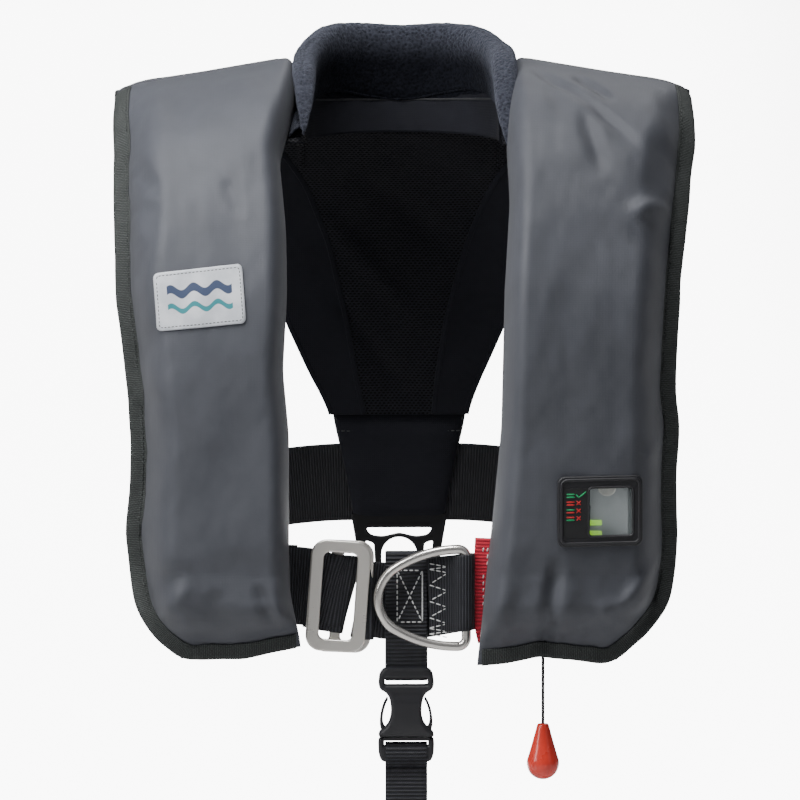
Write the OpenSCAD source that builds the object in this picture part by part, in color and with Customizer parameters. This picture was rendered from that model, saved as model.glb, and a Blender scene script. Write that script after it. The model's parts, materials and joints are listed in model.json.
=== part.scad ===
// Inflatable life jacket with a fabric cover, a safety harness and a crotch strap.
// The front faces -Y, the wearer's left is +X, +Z is up. The origin is midway between
// the shoulders, level with the top of the cover where it crosses them.

/* [Cover] */
// Half width of the cover across the shoulders
cover_half_w = 172; // [168:1:176]
// Half width of the neck opening in the cover
neck_half_w = 66.5; // [66:0.5:68]
// Depth of a packed lobe at its fullest
lobe_depth = 44; // [43:0.5:47]
// Depth of the cover where it crosses the shoulder
shoulder_depth = 26; // [24:0.5:28]
// Thickness of the cover cloth and its lining
cloth_t = 1.5; // [1.2:0.1:1.6]
// Width of the tape that binds the edge
binding_w = 8; // [7:0.5:9]

/* [Waist belt] */
// Width of the waist webbing
belt_w = 47; // [45:0.5:48]
// Thickness of the waist webbing
belt_t = 2.4; // [2:0.1:2.5]
// Height of the front belt's middle line
belt_z = -314; // [-316:0.5:-312]

/* [Steel hardware] */
// Bar diameter of the D-ring
ring_bar_d = 5.8; // [5.5:0.1:6]
// Length of the D-ring from its bar to its nose, middle to middle
ring_reach = 53.6; // [52:0.2:55]
// Half height of the D-ring, middle line
ring_half_h = 29.6; // [29:0.2:31]
// Width of the locking frame
frame_w = 36; // [35:0.5:37]
// Height of the locking frame and the slide plate
frame_h = 68; // [66:0.5:69]
// Thickness of the steel plate
plate_t = 2.8; // [2.4:0.1:3]

/* [Crotch strap] */
// Width of the crotch webbing
strap_w = 25.5; // [24:0.5:26]
// Thickness of the crotch webbing
strap_t = 1.6; // [1.4:0.1:1.6]
// Width of the side-release buckle
clip_w = 34; // [33:0.5:35]
// Height of the folded spare strap
hank_h = 90; // [80:1:95]

/* [Inflator] */
// Diameter of the gas cylinder
gas_d = 28; // [26:0.5:28]
// Travel of the pull cord
pull_travel = 28; // [24:0.5:28]
// Length of the firing lever
lever_len = 33; // [32.5:0.1:33.5]
// Diameter of the pull cord
cord_d = 1.8; // [1.5:0.1:2]

/* [Hidden] */
$fn = 48;

// ---- Body surface: an arc over the shoulder, then a flatter arc, then straight down ----
top_y = -5;
top_z = -24;
shoulder_r = 70;
shoulder_turn = 55;
chest_r = 185;
chest_turn = 90;
back_r = 170;
back_turn = 82;
// How far the cover falls towards the body at its outer edge, on the chest and the back
chest_drop = 10;
hem_s = 370;
neck_back_s = 135;
neck_hole_s = 60;

// Thickness of the sewn edge, and the gaps that keep the soft pieces apart
seam_t = 1.7;
gap = 0.15;
// Share of the width where the packed part ends and the flat sewn edge starts
edge_from = 0.94;

function arc_len(radius, turn) = radius * turn * PI / 180;
function arc_turn(radius, length) = length / radius * 180 / PI;
shoulder_arc = arc_len(shoulder_r, shoulder_turn);

// Slope of the body surface at a length s from the shoulder's top, forwards positive
function far_r(s) = s > 0 ? chest_r : back_r;
function far_turn(s) = s > 0 ? chest_turn : back_turn;
function slope(s) = abs(s) < shoulder_arc ? arc_turn(shoulder_r, abs(s))
    : min(far_turn(s), shoulder_turn + arc_turn(far_r(s), abs(s) - shoulder_arc));

// Distance along Y and the fall at that length
function straight(s) = max(0, abs(s) - shoulder_arc - arc_len(far_r(s), far_turn(s) - shoulder_turn));
function body_run(s) = abs(s) < shoulder_arc ? shoulder_r * sin(slope(s))
    : shoulder_r * sin(shoulder_turn) + far_r(s) * (sin(slope(s)) - sin(shoulder_turn))
      + straight(s) * cos(far_turn(s));
function body_fall(s) = abs(s) < shoulder_arc ? shoulder_r * (1 - cos(slope(s)))
    : shoulder_r * (1 - cos(shoulder_turn)) + far_r(s) * (cos(shoulder_turn) - cos(slope(s)))
      + straight(s) * sin(far_turn(s));

// On the shoulder the sewn edge turns up again, so that the top runs straight to a square corner
function shoulder_fall(x) = lookup(abs(x), [[neck_half_w, 0], [90, 4], [120, 10], [145, 9], [160, 5],
    [cover_half_w, -7]]);
function chest_fall(x) = chest_drop * pow(max(0, abs(x) - neck_half_w) / (cover_half_w - neck_half_w), 1.5);
function droop(x, s) = let (t = min(1, abs(s) / 120)) shoulder_fall(x) * (1 - t) + chest_fall(x) * t;

// The hem's seam lies half way through the packed depth
function hem_lift(s) = lookup(s, [[320, 0], [345, 14], [355, 16.5], [hem_s, 17]]);

// Point on the body at width x and length s, raised by h
function wrap(x, s, h) = let (up = h - droop(x, s) + hem_lift(s), side = s > 0 ? -1 : 1)
    [x, top_y + side * (body_run(s) + up * sin(slope(s))), top_z - body_fall(s) + up * cos(slope(s))];

// ---- Lobe outline and fullness ----
function outer_x(s) = cover_half_w
    + lookup(s, [[0, 0], [60, 3], [150, -2], [240, -7], [310, -6], [345, -13], [358, -21], [hem_s, -34]]);
function left_inner_x(s) = lookup(s, [[0, 67], [70, 74], [150, 72], [300, 71], [hem_s, 65]]);
function right_inner_x(s) = lookup(s, [[0, 67], [60, 65], [110, 63], [240, 58], [300, 52], [hem_s, 44]]);
function depth(s) = lookup(s, [[0, shoulder_depth], [60, 31], [110, 38], [150, 42], [200, lobe_depth],
    [300, lobe_depth], [320, 42], [330, 36.5], [343, 23], [354, 10], [361, 0], [hem_s, 0]]);
// Fullness across the width, 0 at the seams and 1 in the middle
function puff(u) = u >= edge_from ? 0 : pow(1 - pow(abs(2 * u / edge_from - 1), 5), 0.6);
function inset(u) = u > 0 && u < 0.25 ? cloth_t : u > 0.75 && u < 0.93 ? -cloth_t : 0;

// All layers share these rows and columns, so that their facets stay parallel
LOBE_S = [1, 14, 28, 42, 56, 70, 90, 110, 140, 175, 210, 245, 280, 310, 330, 345, 356, 362, hem_s];
ACROSS = [0, 0.03, 0.08, 0.16, 0.28, 0.42, 0.58, 0.72, 0.82, 0.89, edge_from, 1];
INSIDE = [for (u = ACROSS) if (u > 0.1 && u < 0.85) u];

// ---- Solids made from grids and rings of points ----
// Closed solid between two grids; rows cross columns points from inner to outer
module skin(outer, inner) {
    rows = len(outer);
    cols = len(outer[0]);
    n = rows * cols;
    cells = [for (r = [0:rows - 2], c = [0:cols - 2]) r * cols + c];
    top = [for (k = cells) each [[k, k + 1, k + cols + 1], [k, k + cols + 1, k + cols]]];
    bottom = [for (f = top) [f[0] + n, f[2] + n, f[1] + n]];
    first = [for (c = [0:cols - 2]) [c + 1, c]];
    last = [for (c = [0:cols - 2]) [n - cols + c, n - cols + c + 1]];
    left = [for (r = [0:rows - 2]) [r * cols, (r + 1) * cols]];
    right = [for (r = [0:rows - 2]) [(r + 2) * cols - 1, (r + 1) * cols - 1]];
    rim = [for (e = concat(first, last, left, right))
        each [[e[0], e[1], e[1] + n], [e[0], e[1] + n, e[0] + n]]];
    polyhedron(concat([for (g = outer) each g], [for (g = inner) each g]), concat(top, bottom, rim));
}

// Closed tube through rings with equal numbers of points
module tube(rings) {
    m = len(rings[0]);
    sides = [for (i = [0:len(rings) - 2], j = [0:m - 1]) let (a = i * m + j, b = i * m + (j + 1) % m)
        each [[a, a + m, b + m], [a, b + m, b]]];
    start = [for (j = [1:m - 2]) [0, j, j + 1]];
    end_at = (len(rings) - 1) * m;
    finish = [for (j = [1:m - 2]) [end_at, end_at + j + 1, end_at + j]];
    polyhedron([for (r = rings) each r], concat(sides, start, finish));
}

function unit(v) = v / norm(v);
function place(p) = [p[0], p[1], p[2]];
function heading(path, i) = unit(place(path[min(i + 1, len(path) - 1)]) - place(path[max(i - 1, 0)]));
// Rings along a path of [x, y, z, half thickness, half height]
function rings(path, section, up) = [for (i = [0:len(path) - 1])
    let (d = heading(path, i), u = unit(cross(d, up)), v = cross(d, u))
    [for (q = section) place(path[i]) + u * q[0] * path[i][3] + v * q[1] * path[i][4]]];
function round_section(n) = [for (k = [0:n - 1]) [cos(360 * k / n), sin(360 * k / n)]];
FLAT = [[1, 1], [-1, 1], [-1, -1], [1, -1]];

// Smooth curve through hand-set points, n steps between each pair
function blend(a, b, c, d, t) = 0.5 * (2 * b + (c - a) * t + (2 * a - 5 * b + 4 * c - d) * t * t
    + (3 * b - a - 3 * c + d) * t * t * t);
function smooth(p, n) = [for (i = [0:len(p) - 2], k = [0:n - 1])
    blend(p[max(i - 1, 0)], p[i], p[i + 1], p[min(i + 2, len(p) - 1)], k / n), p[len(p) - 1]];
function mirrored(p) = concat(p, [for (i = [len(p) - 2:-1:0]) [-p[i][0], p[i][1], p[i][2], p[i][3], p[i][4]]]);

module round_rect(w, h, r) {
    square([w - 2 * r, h], center = true);
    square([w, h - 2 * r], center = true);
    for (x = [-1, 1], z = [-1, 1]) {
        translate([x * (w / 2 - r), z * (h / 2 - r)]) circle(r);
    }
}

// A flat shape drawn as seen from the front, with its back face at y, thickness towards -Y
module facing(y, t) {
    translate([0, y, 0]) rotate([90, 0, 0]) linear_extrude(t) children();
}

// ---- Cover ----
function lobe_x(s, u, right) = let (a = right ? right_inner_x(s) : left_inner_x(s)) a + (outer_x(s) - a) * u;
function lobe_h(s, u) = seam_t + depth(s) * puff(u);

module lobe_cover(right) {
    outer = [for (s = LOBE_S) [for (u = ACROSS) wrap(lobe_x(s, u, right), s, lobe_h(s, u))]];
    inner = [for (s = LOBE_S) [for (u = ACROSS)
        wrap(lobe_x(s, u, right) + inset(u), s, max(gap, lobe_h(s, u) - 1.2 * cloth_t))]];
    skin(outer, inner);
}

module lobe_panel(right) {
    outer = [for (s = LOBE_S) [for (u = ACROSS) wrap(lobe_x(s, u, right), s, 0)]];
    inner = [for (s = LOBE_S) [for (u = ACROSS) wrap(lobe_x(s, u, right), s, -1.2)]];
    skin(outer, inner);
}

// Binding tape: down the outer edge, round the corner and along the hem
module lobe_binding(right) {
    edge = [for (s = LOBE_S) if (s < hem_s) [outer_x(s), s, lobe_x(s, edge_from + 0.003, right), s]];
    corner = [[outer_x(hem_s), hem_s, outer_x(hem_s) - 4, hem_s - binding_w + 1]];
    hem = [for (u = [0.8, 0.55, 0.3, 0.03])
        [lobe_x(hem_s, u, right), hem_s, lobe_x(hem_s, u, right), hem_s - binding_w + 1]];
    line = concat(edge, corner, hem);
    low = seam_t + gap;
    outer = [for (e = line) [wrap(e[2], e[3], low + 0.8), wrap(e[0], e[1], low + 0.8)]];
    inner = [for (e = line) [wrap(e[2], e[3], low), wrap(e[0], e[1], low)]];
    skin(outer, inner);
}

// Folded bladder: full at the top, thin where the inflator or the oral tube lies in front of it
module lobe_bladder(right, full_to, thin_h) {
    lengths = [for (s = LOBE_S) if (s > 1 && s < 320) s];
    function top_h(s, u) = max(1.2, min(s > full_to ? thin_h : 100, depth(s) * puff(u) - 4));
    outer = [for (s = lengths) [for (u = INSIDE) wrap(lobe_x(s, u, right), s, top_h(s, u))]];
    inner = [for (s = lengths) [for (u = INSIDE) wrap(lobe_x(s, u, right), s, 0.5)]];
    skin(outer, inner);
}

// Neck part: rays from the neck's centre, from its opening to the cover's square outer edge
NECK_TURNS = [for (k = [0:24]) 180 - 7.5 * k];
corner_power = 8;
function neck_reach(a) = 1 / pow(pow(abs(cos(a)) / cover_half_w, corner_power)
    + pow(sin(a) / neck_back_s, corner_power), 1 / corner_power);
function neck_start(a) = 1 / sqrt(pow(cos(a) / neck_half_w, 2) + pow(sin(a) / neck_hole_s, 2));
function neck_point(a, u, h) = let (r = neck_start(a) + (neck_reach(a) - neck_start(a)) * u)
    wrap(r * cos(a), -r * sin(a), h);
function neck_h(u) = seam_t + shoulder_depth * puff(u);

module neck_skin(across, high, low) {
    skin([for (a = NECK_TURNS) [for (i = [0:len(across) - 1]) neck_point(a, across[i], high[i])]],
        [for (a = NECK_TURNS) [for (i = [0:len(across) - 1]) neck_point(a, across[i], low[i])]]);
}

module left_front_cover() {
    color("#63666c") mirror([1, 0, 0]) lobe_cover(false);
}

window_x = 116;
window_y = -139;
window_z = -259;
window_w = 52;
window_h = 43;
window_turn = 9;
cord_x = 82.5;
cord_y = -109;

module right_front_cover() {
    color("#63666c") difference() {
        lobe_cover(true);
        translate([window_x, window_y, window_z]) rotate([0, 0, window_turn])
            cube([window_w + 1.2, 24, window_h + 1.2], center = true);
    }
}

module neck_cover() {
    color("#6c6f75") neck_skin(ACROSS, [for (u = ACROSS) neck_h(u)],
        [for (u = ACROSS) max(gap, neck_h(u) - 1.2 * cloth_t)]);
}

module left_back_panel() {
    color("#2a2d33") mirror([1, 0, 0]) lobe_panel(false);
}

module right_back_panel() {
    color("#2a2d33") difference() {
        lobe_panel(true);
        // Way out for the pull cord, behind the hem
        translate([cord_x - 3, -125, -336]) cube([6, 45, 22]);
    }
}

module neck_back_panel() {
    color("#2a2d33") neck_skin(ACROSS, [for (u = ACROSS) 0], [for (u = ACROSS) -1.2]);
}

module left_binding() {
    color("#2f3330") mirror([1, 0, 0]) lobe_binding(false);
}

module right_binding() {
    color("#2f3330") lobe_binding(true);
}

module neck_binding() {
    low = seam_t + gap;
    color("#2f3330") neck_skin([edge_from, 1], [low + 0.8, low + 0.8], [low, low]);
}

module left_bladder() {
    color("#e8c520") mirror([1, 0, 0]) lobe_bladder(false, 165, 18);
}

module right_bladder() {
    color("#e8c520") lobe_bladder(true, 125, 2.2);
}

module neck_bladder() {
    color("#e8c520") neck_skin(INSIDE, [for (u = INSIDE) max(1.2, neck_h(u) - 6)], [for (u = INSIDE) 0.5]);
}

// ---- Collar and yoke ----
// [x, y, z, half thickness, half height] from the right front end to the nape
COLLAR = [[58, -62, -38, 3, 5], [59, -48, -24, 4.5, 9], [59.5, -27, -11, 5, 14], [58.5, -2, -8, 5, 18],
    [52, 22, -6, 5, 20], [38, 41, -6, 5, 22], [20, 51, -9, 5, 26], [0, 54, -11, 5, 28]];

module fleece_collar() {
    color("#343744") tube(rings(smooth(mirrored(COLLAR), 2), round_section(12), [0, 0, 1]));
}

// Lining between the collar's lower edge and the yoke, round the back of the neck
module neck_lining() {
    turns = [for (k = [0:16]) 170 - 10 * k];
    function top(a) = [57 * cos(a), -2 + 54 * sin(a), -31 - 9.5 * sin(a)];
    function low(a) = [56 * cos(a), -2 + 45 * sin(a), -35 - 8 * sin(a)];
    function at(a, t, out) = top(a) * (1 - t) + low(a) * t + [cos(a), sin(a), 0] * out;
    color("#14161b") skin([for (a = turns) [for (t = [0, 0.5, 1]) at(a, t, 1)]],
        [for (a = turns) [for (t = [0, 0.5, 1]) at(a, t, 0)]]);
}

yoke_from = 52;
yoke_seam = 250;
yoke_side_w = 15;
yoke_high = -2.6;
yoke_low = -4.6;
YOKE_S = [for (k = [0:12]) -yoke_from - (yoke_seam - yoke_from) * k / 12];
function yoke_half_w(s) = lookup(-s, [[yoke_from, 112], [188, 67], [267, 36.5], [315, 29]]);

// A strip of the yoke between two widths, given as functions of length
module yoke_strip(from_x, to_x) {
    steps = [0, 0.2, 0.4, 0.6, 0.8, 1];
    n = len(YOKE_S) - 1;
    skin([for (i = [0:n]) [for (k = steps) wrap(to_x[i] + (from_x[i] - to_x[i]) * k, YOKE_S[i], yoke_high)]],
        [for (i = [0:n]) [for (k = steps) wrap(to_x[i] + (from_x[i] - to_x[i]) * k, YOKE_S[i], yoke_low)]]);
}

module yoke_mesh() {
    half = [for (s = YOKE_S) yoke_half_w(s) - yoke_side_w - gap];
    color("#14161b") yoke_strip(-half, half);
}

module yoke_side() {
    yoke_strip([for (s = YOKE_S) yoke_half_w(s) - yoke_side_w], [for (s = YOKE_S) yoke_half_w(s)]);
}

module yoke_side_right() {
    color("#0d0f13") yoke_side();
}

module yoke_side_left() {
    color("#0d0f13") mirror([1, 0, 0]) yoke_side();
}

rear_y = 97;
rear_belt_z = -272;
sleeve_top_z = -232.5;
sleeve_end_z = -297.6;
sleeve_t = 7;

module belt_sleeve() {
    color("#0d0f13") difference() {
        facing(rear_y + sleeve_t / 2, sleeve_t)
            polygon([[-41, sleeve_top_z], [41, sleeve_top_z], [30, sleeve_end_z], [-30, sleeve_end_z]]);
        translate([0, rear_y, rear_belt_z]) cube([100, belt_t + 1.6, belt_w + 1], center = true);
    }
}

// ---- Waist belt and its hardware ----
belt_y = -90;
belt_mid_y = belt_y - belt_t / 2;
half_t = belt_t / 2;
half_w = belt_w / 2;
join_x = 62;
BELT_REAR = [[0, rear_y, rear_belt_z], [44, rear_y, rear_belt_z], [86, 89, -276], [124, 67, -281],
    [148, 33, -287], [155, -6, -294], [148, -42, -301], [130, -67, -306], [104, -82, -310],
    [82, -89.5, -313], [join_x + 4, belt_mid_y, belt_z]];

module waist_belt() {
    half = [for (p = BELT_REAR) [p[0], p[1], p[2], half_t, half_w]];
    back_first = [for (i = [len(half) - 1:-1:0]) half[i]];
    // Straight ends that stop just short of the front belts
    ends = [for (side = [1, -1]) [side * (join_x + gap), belt_mid_y, belt_z, half_t, half_w]];
    line = concat([ends[0]], smooth(mirrored(back_first), 3), [ends[1]]);
    color("#26272c") tube(rings(line, FLAT, [0, 0, 1]));
}

frame_x = -41;
frame_z = -313;
frame_turn = -4;
plate_x = -38.5;
plate_y = -94.2;
slot_h = 53;
side_bar_w = 7;
mid_bar_w = 6;
wrap_gap = 0.3;

// Ring of webbing wrapped round a flat bar, drawn from above
module wrapped(w, t, web_t) {
    difference() {
        round_rect(w + 2 * (wrap_gap + web_t), t + 2 * (wrap_gap + web_t), 3);
        round_rect(w + 2 * wrap_gap, t + 2 * wrap_gap, 1.2);
    }
}

module upright(z, h) {
    translate([0, 0, z - h / 2]) linear_extrude(h) children();
}

plate_mid_y = plate_y - plate_t / 2;
web_t = 1.6;
wrap_w = 45;
plate_side_x = plate_x + frame_w / 2 - side_bar_w / 2;

module left_front_belt() {
    color("#26272c") difference() {
        upright(frame_z, wrap_w) {
            translate([plate_x, plate_mid_y]) wrapped(mid_bar_w, plate_t, web_t);
            translate([-join_x, belt_y - belt_t]) square([join_x + plate_x, belt_t]);
        }
        // The bar's own place stays free where the strip passes behind it
        translate([plate_x - mid_bar_w / 2 - wrap_gap, plate_mid_y - plate_t / 2 - wrap_gap, frame_z - 40])
            cube([mid_bar_w + 2 * wrap_gap, plate_t + 2 * wrap_gap, 80]);
    }
}

module right_front_belt() {
    color("#26272c") difference() {
        upright(belt_z, wrap_w) {
            translate([plate_side_x, plate_mid_y]) wrapped(side_bar_w, plate_t, web_t);
            translate([plate_side_x, belt_y - belt_t]) square([join_x - plate_side_x, belt_t]);
        }
        translate([plate_side_x - side_bar_w / 2 - wrap_gap, plate_mid_y - plate_t / 2 - wrap_gap, belt_z - 40])
            cube([side_bar_w + 2 * wrap_gap, plate_t + 2 * wrap_gap, 80]);
    }
}

module buckle_plate() {
    color("#b9b3ac") difference() {
        translate([plate_x, 0, frame_z]) facing(plate_y, plate_t) difference() {
            round_rect(frame_w, frame_h, 9);
            for (side = [-1, 1]) {
                translate([side * (mid_bar_w + frame_w - 2 * side_bar_w) / 4, 0])
                    round_rect((frame_w - 2 * side_bar_w - mid_bar_w) / 2, slot_h, 2);
            }
        }
    }
}

frame_y = plate_y - plate_t - 3.6;

module buckle_frame() {
    edge_h = frame_h - 20;
    edge_r = plate_t / 2;
    color("#c9c4bd") translate([frame_x, 0, frame_z]) rotate([0, -frame_turn, 0]) union() {
        difference() {
            facing(frame_y, plate_t) difference() {
                round_rect(frame_w, frame_h, 9);
                round_rect(frame_w - 2 * side_bar_w - 2, slot_h, 3);
            }
            translate([-frame_w / 2, frame_y, 0]) cube([plate_t, 3 * plate_t, edge_h], center = true);
        }
        // Rounded edge that the frame tilts on
        translate([edge_r - frame_w / 2, frame_y - edge_r, -edge_h / 2]) cylinder(h = edge_h, r = edge_r);
    }
}

ring_x = 36.5;
ring_z = -315;
ring_y = belt_y - belt_t - 4.6;
ring_corner_r = 5;
ring_nose_r = 22;
ring_turn = 6;
ring_bar_r = ring_bar_d / 2;
// Flank arc that meets the corner and the nose without a kink
nose_gap = ring_reach - ring_nose_r - ring_corner_r;
flank_r = (pow(nose_gap, 2) + pow(ring_half_h, 2) - pow(ring_nose_r, 2)) / (2 * (ring_half_h - ring_nose_r));
flank_turn = atan2(flank_r - ring_half_h, nose_gap);

function arc(x, z, r, from, to, n) = [for (k = [0:n])
    let (a = from + (to - from) * k / n) [x + r * cos(a), 0, z + r * sin(a)]];
ring_straight = ring_half_h - ring_corner_r;
flank_x = -ring_corner_r;
flank_z = ring_half_h - flank_r;
// The bow's middle line, from inside one end of the bar to inside the other
RING_UPPER = concat([[0, 0, ring_straight - 3]], arc(flank_x, ring_straight, ring_corner_r, 0, 75, 5),
    arc(flank_x, flank_z, flank_r, 90, 176 - flank_turn, 6));
RING_BOW = concat(RING_UPPER,
    arc(ring_nose_r - ring_reach, 0, ring_nose_r, 180 - flank_turn, 180 + flank_turn, 14),
    [for (i = [len(RING_UPPER) - 1:-1:0]) [RING_UPPER[i][0], 0, -RING_UPPER[i][2]]]);

module d_ring() {
    bow_r = 0.99 * ring_bar_r;
    color("#cfcac4") translate([ring_x, ring_y, ring_z]) rotate([0, 0, ring_turn]) union() {
        translate([0, 0, -ring_straight]) cylinder(h = 2 * ring_straight, r = ring_bar_r);
        tube(rings([for (p = RING_BOW) [p[0], p[1], p[2], bow_r, bow_r]], round_section(12), [0, 1, 0]));
    }
}

loop_t = 1.8;
loop_from_x = 13.5;
loop_front_y = belt_y - belt_t - gap;

module d_ring_loop() {
    outer_r = ring_bar_r + 0.1 + loop_t;
    color("#2b2c31") upright(ring_z, wrap_w) difference() {
        union() {
            translate([ring_x, ring_y]) circle(outer_r);
            translate([loop_from_x, loop_front_y - 2 * loop_t]) square([ring_x - loop_from_x, 2 * loop_t]);
        }
        translate([ring_x, ring_y]) circle(ring_bar_r + 0.1);
        translate([loop_from_x - 1, loop_front_y]) square([60, 5]);
    }
}

// Moulded web that spreads the load from the crotch strap to the yoke
module rear_bracket() {
    top_z = sleeve_end_z - 0.1;
    round_z = top_z - 17.5;
    low_z = top_z - 56;
    color("#111214") facing(rear_y + 2, 4) difference() {
        polygon([[-28, top_z], [28, top_z], [23, top_z - 25], [17, top_z - 38], [17, low_z],
            [-17, low_z], [-17, top_z - 38], [-23, top_z - 25]]);
        // Upper window over an arch, the round opening, and a small window each side
        difference() {
            translate([0, top_z - 5.5]) square([42, 6], center = true);
            translate([0, round_z]) circle(12.6);
        }
        translate([0, round_z]) circle(9.6);
        translate([-9.6, round_z - 19]) square([19.2, 19]);
        for (side = [-1, 1]) {
            polygon([[side * 20.5, top_z - 11.5], [side * 14.6, top_z - 11.5],
                [side * 13, top_z - 25], [side * 18.2, top_z - 25]]);
        }
        translate([0, low_z + 7]) square([26.5, 4], center = true);
    }
}

// Red lifting loop, flat between the belt and the right lobe
module lifting_loop() {
    color("#e8364a") translate([53.5, 0, -308]) facing(belt_y - belt_t - 0.2, 1.5) round_rect(23, 66, 1);
}

// ---- Crotch strap ----
strap_front_y = belt_y - belt_t - 2.2;
strap_back_y = belt_y + 2;
loop_top_z = belt_z + half_w + 3;
clip_bar_z = -360.7;
clip_bar_h = 5;
loop_end_z = clip_bar_z - clip_bar_h / 2 - strap_t - 0.2;
clip_mid_y = (strap_front_y + strap_back_y) / 2;

// Band of strap that runs round what lies inside it, drawn from the side
module strap_loop(from_z, to_z) {
    depth_y = strap_back_y - strap_front_y;
    translate([-strap_w / 2, clip_mid_y, (from_z + to_z) / 2]) rotate([90, 0, 90]) linear_extrude(strap_w)
        difference() {
            round_rect(depth_y, from_z - to_z, 2.4);
            square([depth_y - 2 * strap_t, from_z - to_z - 2 * strap_t], center = true);
        }
}

module upper_crotch_strap() {
    color("#26272c") strap_loop(loop_top_z, loop_end_z);
}

clip_top_z = -358;
clip_shell_z = -371;
clip_end_z = -400.2;
clip_t = 11;
clip_wall = 2.2;
bar_t = 3;

module clip_female() {
    shell_h = clip_shell_z - clip_end_z;
    color("#17181b") difference() {
        union() {
            translate([0, clip_mid_y, (clip_shell_z + clip_end_z) / 2])
                cube([clip_w, clip_t, shell_h], center = true);
            for (side = [-1, 1]) {
                translate([side * (clip_w / 2 - 1.7), clip_mid_y, (clip_top_z + clip_shell_z) / 2])
                    cube([3.4, 7, clip_top_z - clip_shell_z], center = true);
            }
            translate([0, clip_mid_y, clip_bar_z]) cube([clip_w - 2, bar_t, clip_bar_h], center = true);
        }
        // Space for the prongs, open at the bottom
        translate([0, clip_mid_y, clip_end_z + 12]) cube([28.4, clip_t - 2 * clip_wall, 26], center = true);
        // Waist on each side, where the prong pads are pressed
        for (side = [-1, 1]) {
            translate([side * 18, clip_mid_y, -387.4]) cube([18.5, clip_t + 1, 14.8], center = true);
            translate([side * 18, clip_mid_y, -380]) rotate([90, 0, 0])
                cylinder(h = clip_t + 1, r = 9.25, center = true);
        }
    }
}

male_top_z = clip_end_z - 0.3;
male_end_z = -415.4;
male_slot_top_z = -403;
male_bar_h = 5;
prong_x = 10.5;
prong_root_z = clip_end_z + 2.5;
prong_r = 2;
prong_t = 5.6;

module clip_male() {
    color("#17181b") difference() {
        union() {
            translate([0, clip_mid_y, (male_top_z + male_end_z) / 2])
                cube([clip_w, 6.4, male_top_z - male_end_z], center = true);
            translate([0, clip_mid_y, male_top_z + 2.4]) cube([25.4, prong_t, 5.2], center = true);
        }
        translate([0, clip_mid_y, (male_slot_top_z + male_end_z + male_bar_h) / 2])
            cube([strap_w + 1.2, 10, male_slot_top_z - male_end_z - male_bar_h], center = true);
        // The strap's bar is thinner than the frame
        for (side = [-1, 1]) {
            translate([0, clip_mid_y + side * (bar_t / 2 + 5), male_end_z + male_bar_h / 2])
                cube([strap_w + 1.2, 10, male_bar_h + 0.1], center = true);
            // Socket for each prong's root, open upwards
            translate([side * prong_x, clip_mid_y, prong_root_z]) rotate([90, 0, 0])
                cylinder(h = 10, r = prong_r + 0.05, center = true);
            translate([side * (prong_x + 1.5), clip_mid_y, prong_root_z + 3]) cube([7, 10, 6], center = true);
        }
    }
}

// Springy arm with a curved pad, its root at the hinge
module prong() {
    color("#1c1d20") facing(clip_mid_y + prong_t / 2, prong_t) union() {
        translate([prong_x, prong_root_z]) circle(prong_r);
        polygon([[prong_x - 1, prong_root_z], [prong_x + 1.5, prong_root_z + 0.5], [13.6, -394.2],
            [16.8, -392.4], [16.4, -385], [14.4, -379.6], [12.4, -378.6], [11.6, -380.2], [13.4, -386],
            [13.2, -390.5], [10.2, -393.6]]);
    }
}

module prong_right() {
    prong();
}

module prong_left() {
    mirror([1, 0, 0]) prong();
}

hank_top_z = -462;
hank_t = 18;
keeper_t = 1.2;
keeper_h = 20;

module lower_crotch_strap() {
    tail_top_z = male_end_z - strap_t + 0.4;
    color("#26272c") union() {
        strap_loop(male_end_z + male_bar_h + strap_t + 0.2, male_end_z - strap_t - 0.2);
        translate([-strap_w / 2, strap_front_y, hank_top_z]) cube([strap_w, strap_t, tail_top_z - hank_top_z]);
    }
}

module strap_hank() {
    color("#222327") translate([-strap_w / 2, clip_mid_y, hank_top_z - hank_h / 2]) rotate([90, 0, 90])
        linear_extrude(strap_w) round_rect(hank_t, hank_h, 8);
}

module strap_keeper() {
    color("#1a1b1e") translate([0, clip_mid_y, hank_top_z - hank_h / 2 - keeper_h / 2])
        linear_extrude(keeper_h) difference() {
            square([strap_w + 2 * keeper_t + 0.2, hank_t + 2 * keeper_t + 0.2], center = true);
            square([strap_w + 0.2, hank_t + 0.2], center = true);
        }
}

// ---- Badge and inflator window ----
// Point on the outside of a lobe at width x and length s, raised by h
function on_lobe(x, s, right, h) = let (a = right ? right_inner_x(s) : left_inner_x(s))
    wrap(x, s, lobe_h(s, (x - a) / (outer_x(s) - a)) + h);

label_x = 125;
label_s = 157;
label_w = 56;
label_h = 36;
label_turn = 6.5;
label_t = 1;

module label_patch() {
    function at(a, b, h) = on_lobe(label_x + a * cos(label_turn) - b * sin(label_turn),
        label_s + a * sin(label_turn) + b * cos(label_turn), false, h);
    along = [for (k = [-4:4]) label_w * k / 8];
    down = [for (k = [-3:3]) label_h * k / 6];
    color("#c7c9cc") mirror([1, 0, 0])
        skin([for (b = down) [for (a = along) at(a, b, 0.6 + label_t)]],
            [for (b = down) [for (a = along) at(a, b, 0.6)]]);
}

module at_window(x, back, z) {
    translate([window_x, window_y, window_z]) rotate([0, 0, window_turn]) translate([x, back, z]) children();
}

pane_x = 10.5;
pane_w = 27;
pane_h = 30;
card_x = -13;
card_w = 17;

module window_frame() {
    color("#101113") at_window(0, 1.6, 0) rotate([90, 0, 0]) linear_extrude(3.2) difference() {
        round_rect(window_w, window_h, 4);
        translate([pane_x, 0]) round_rect(pane_w, pane_h, 2);
        translate([card_x, 0]) round_rect(card_w, pane_h, 1.5);
    }
}

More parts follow.
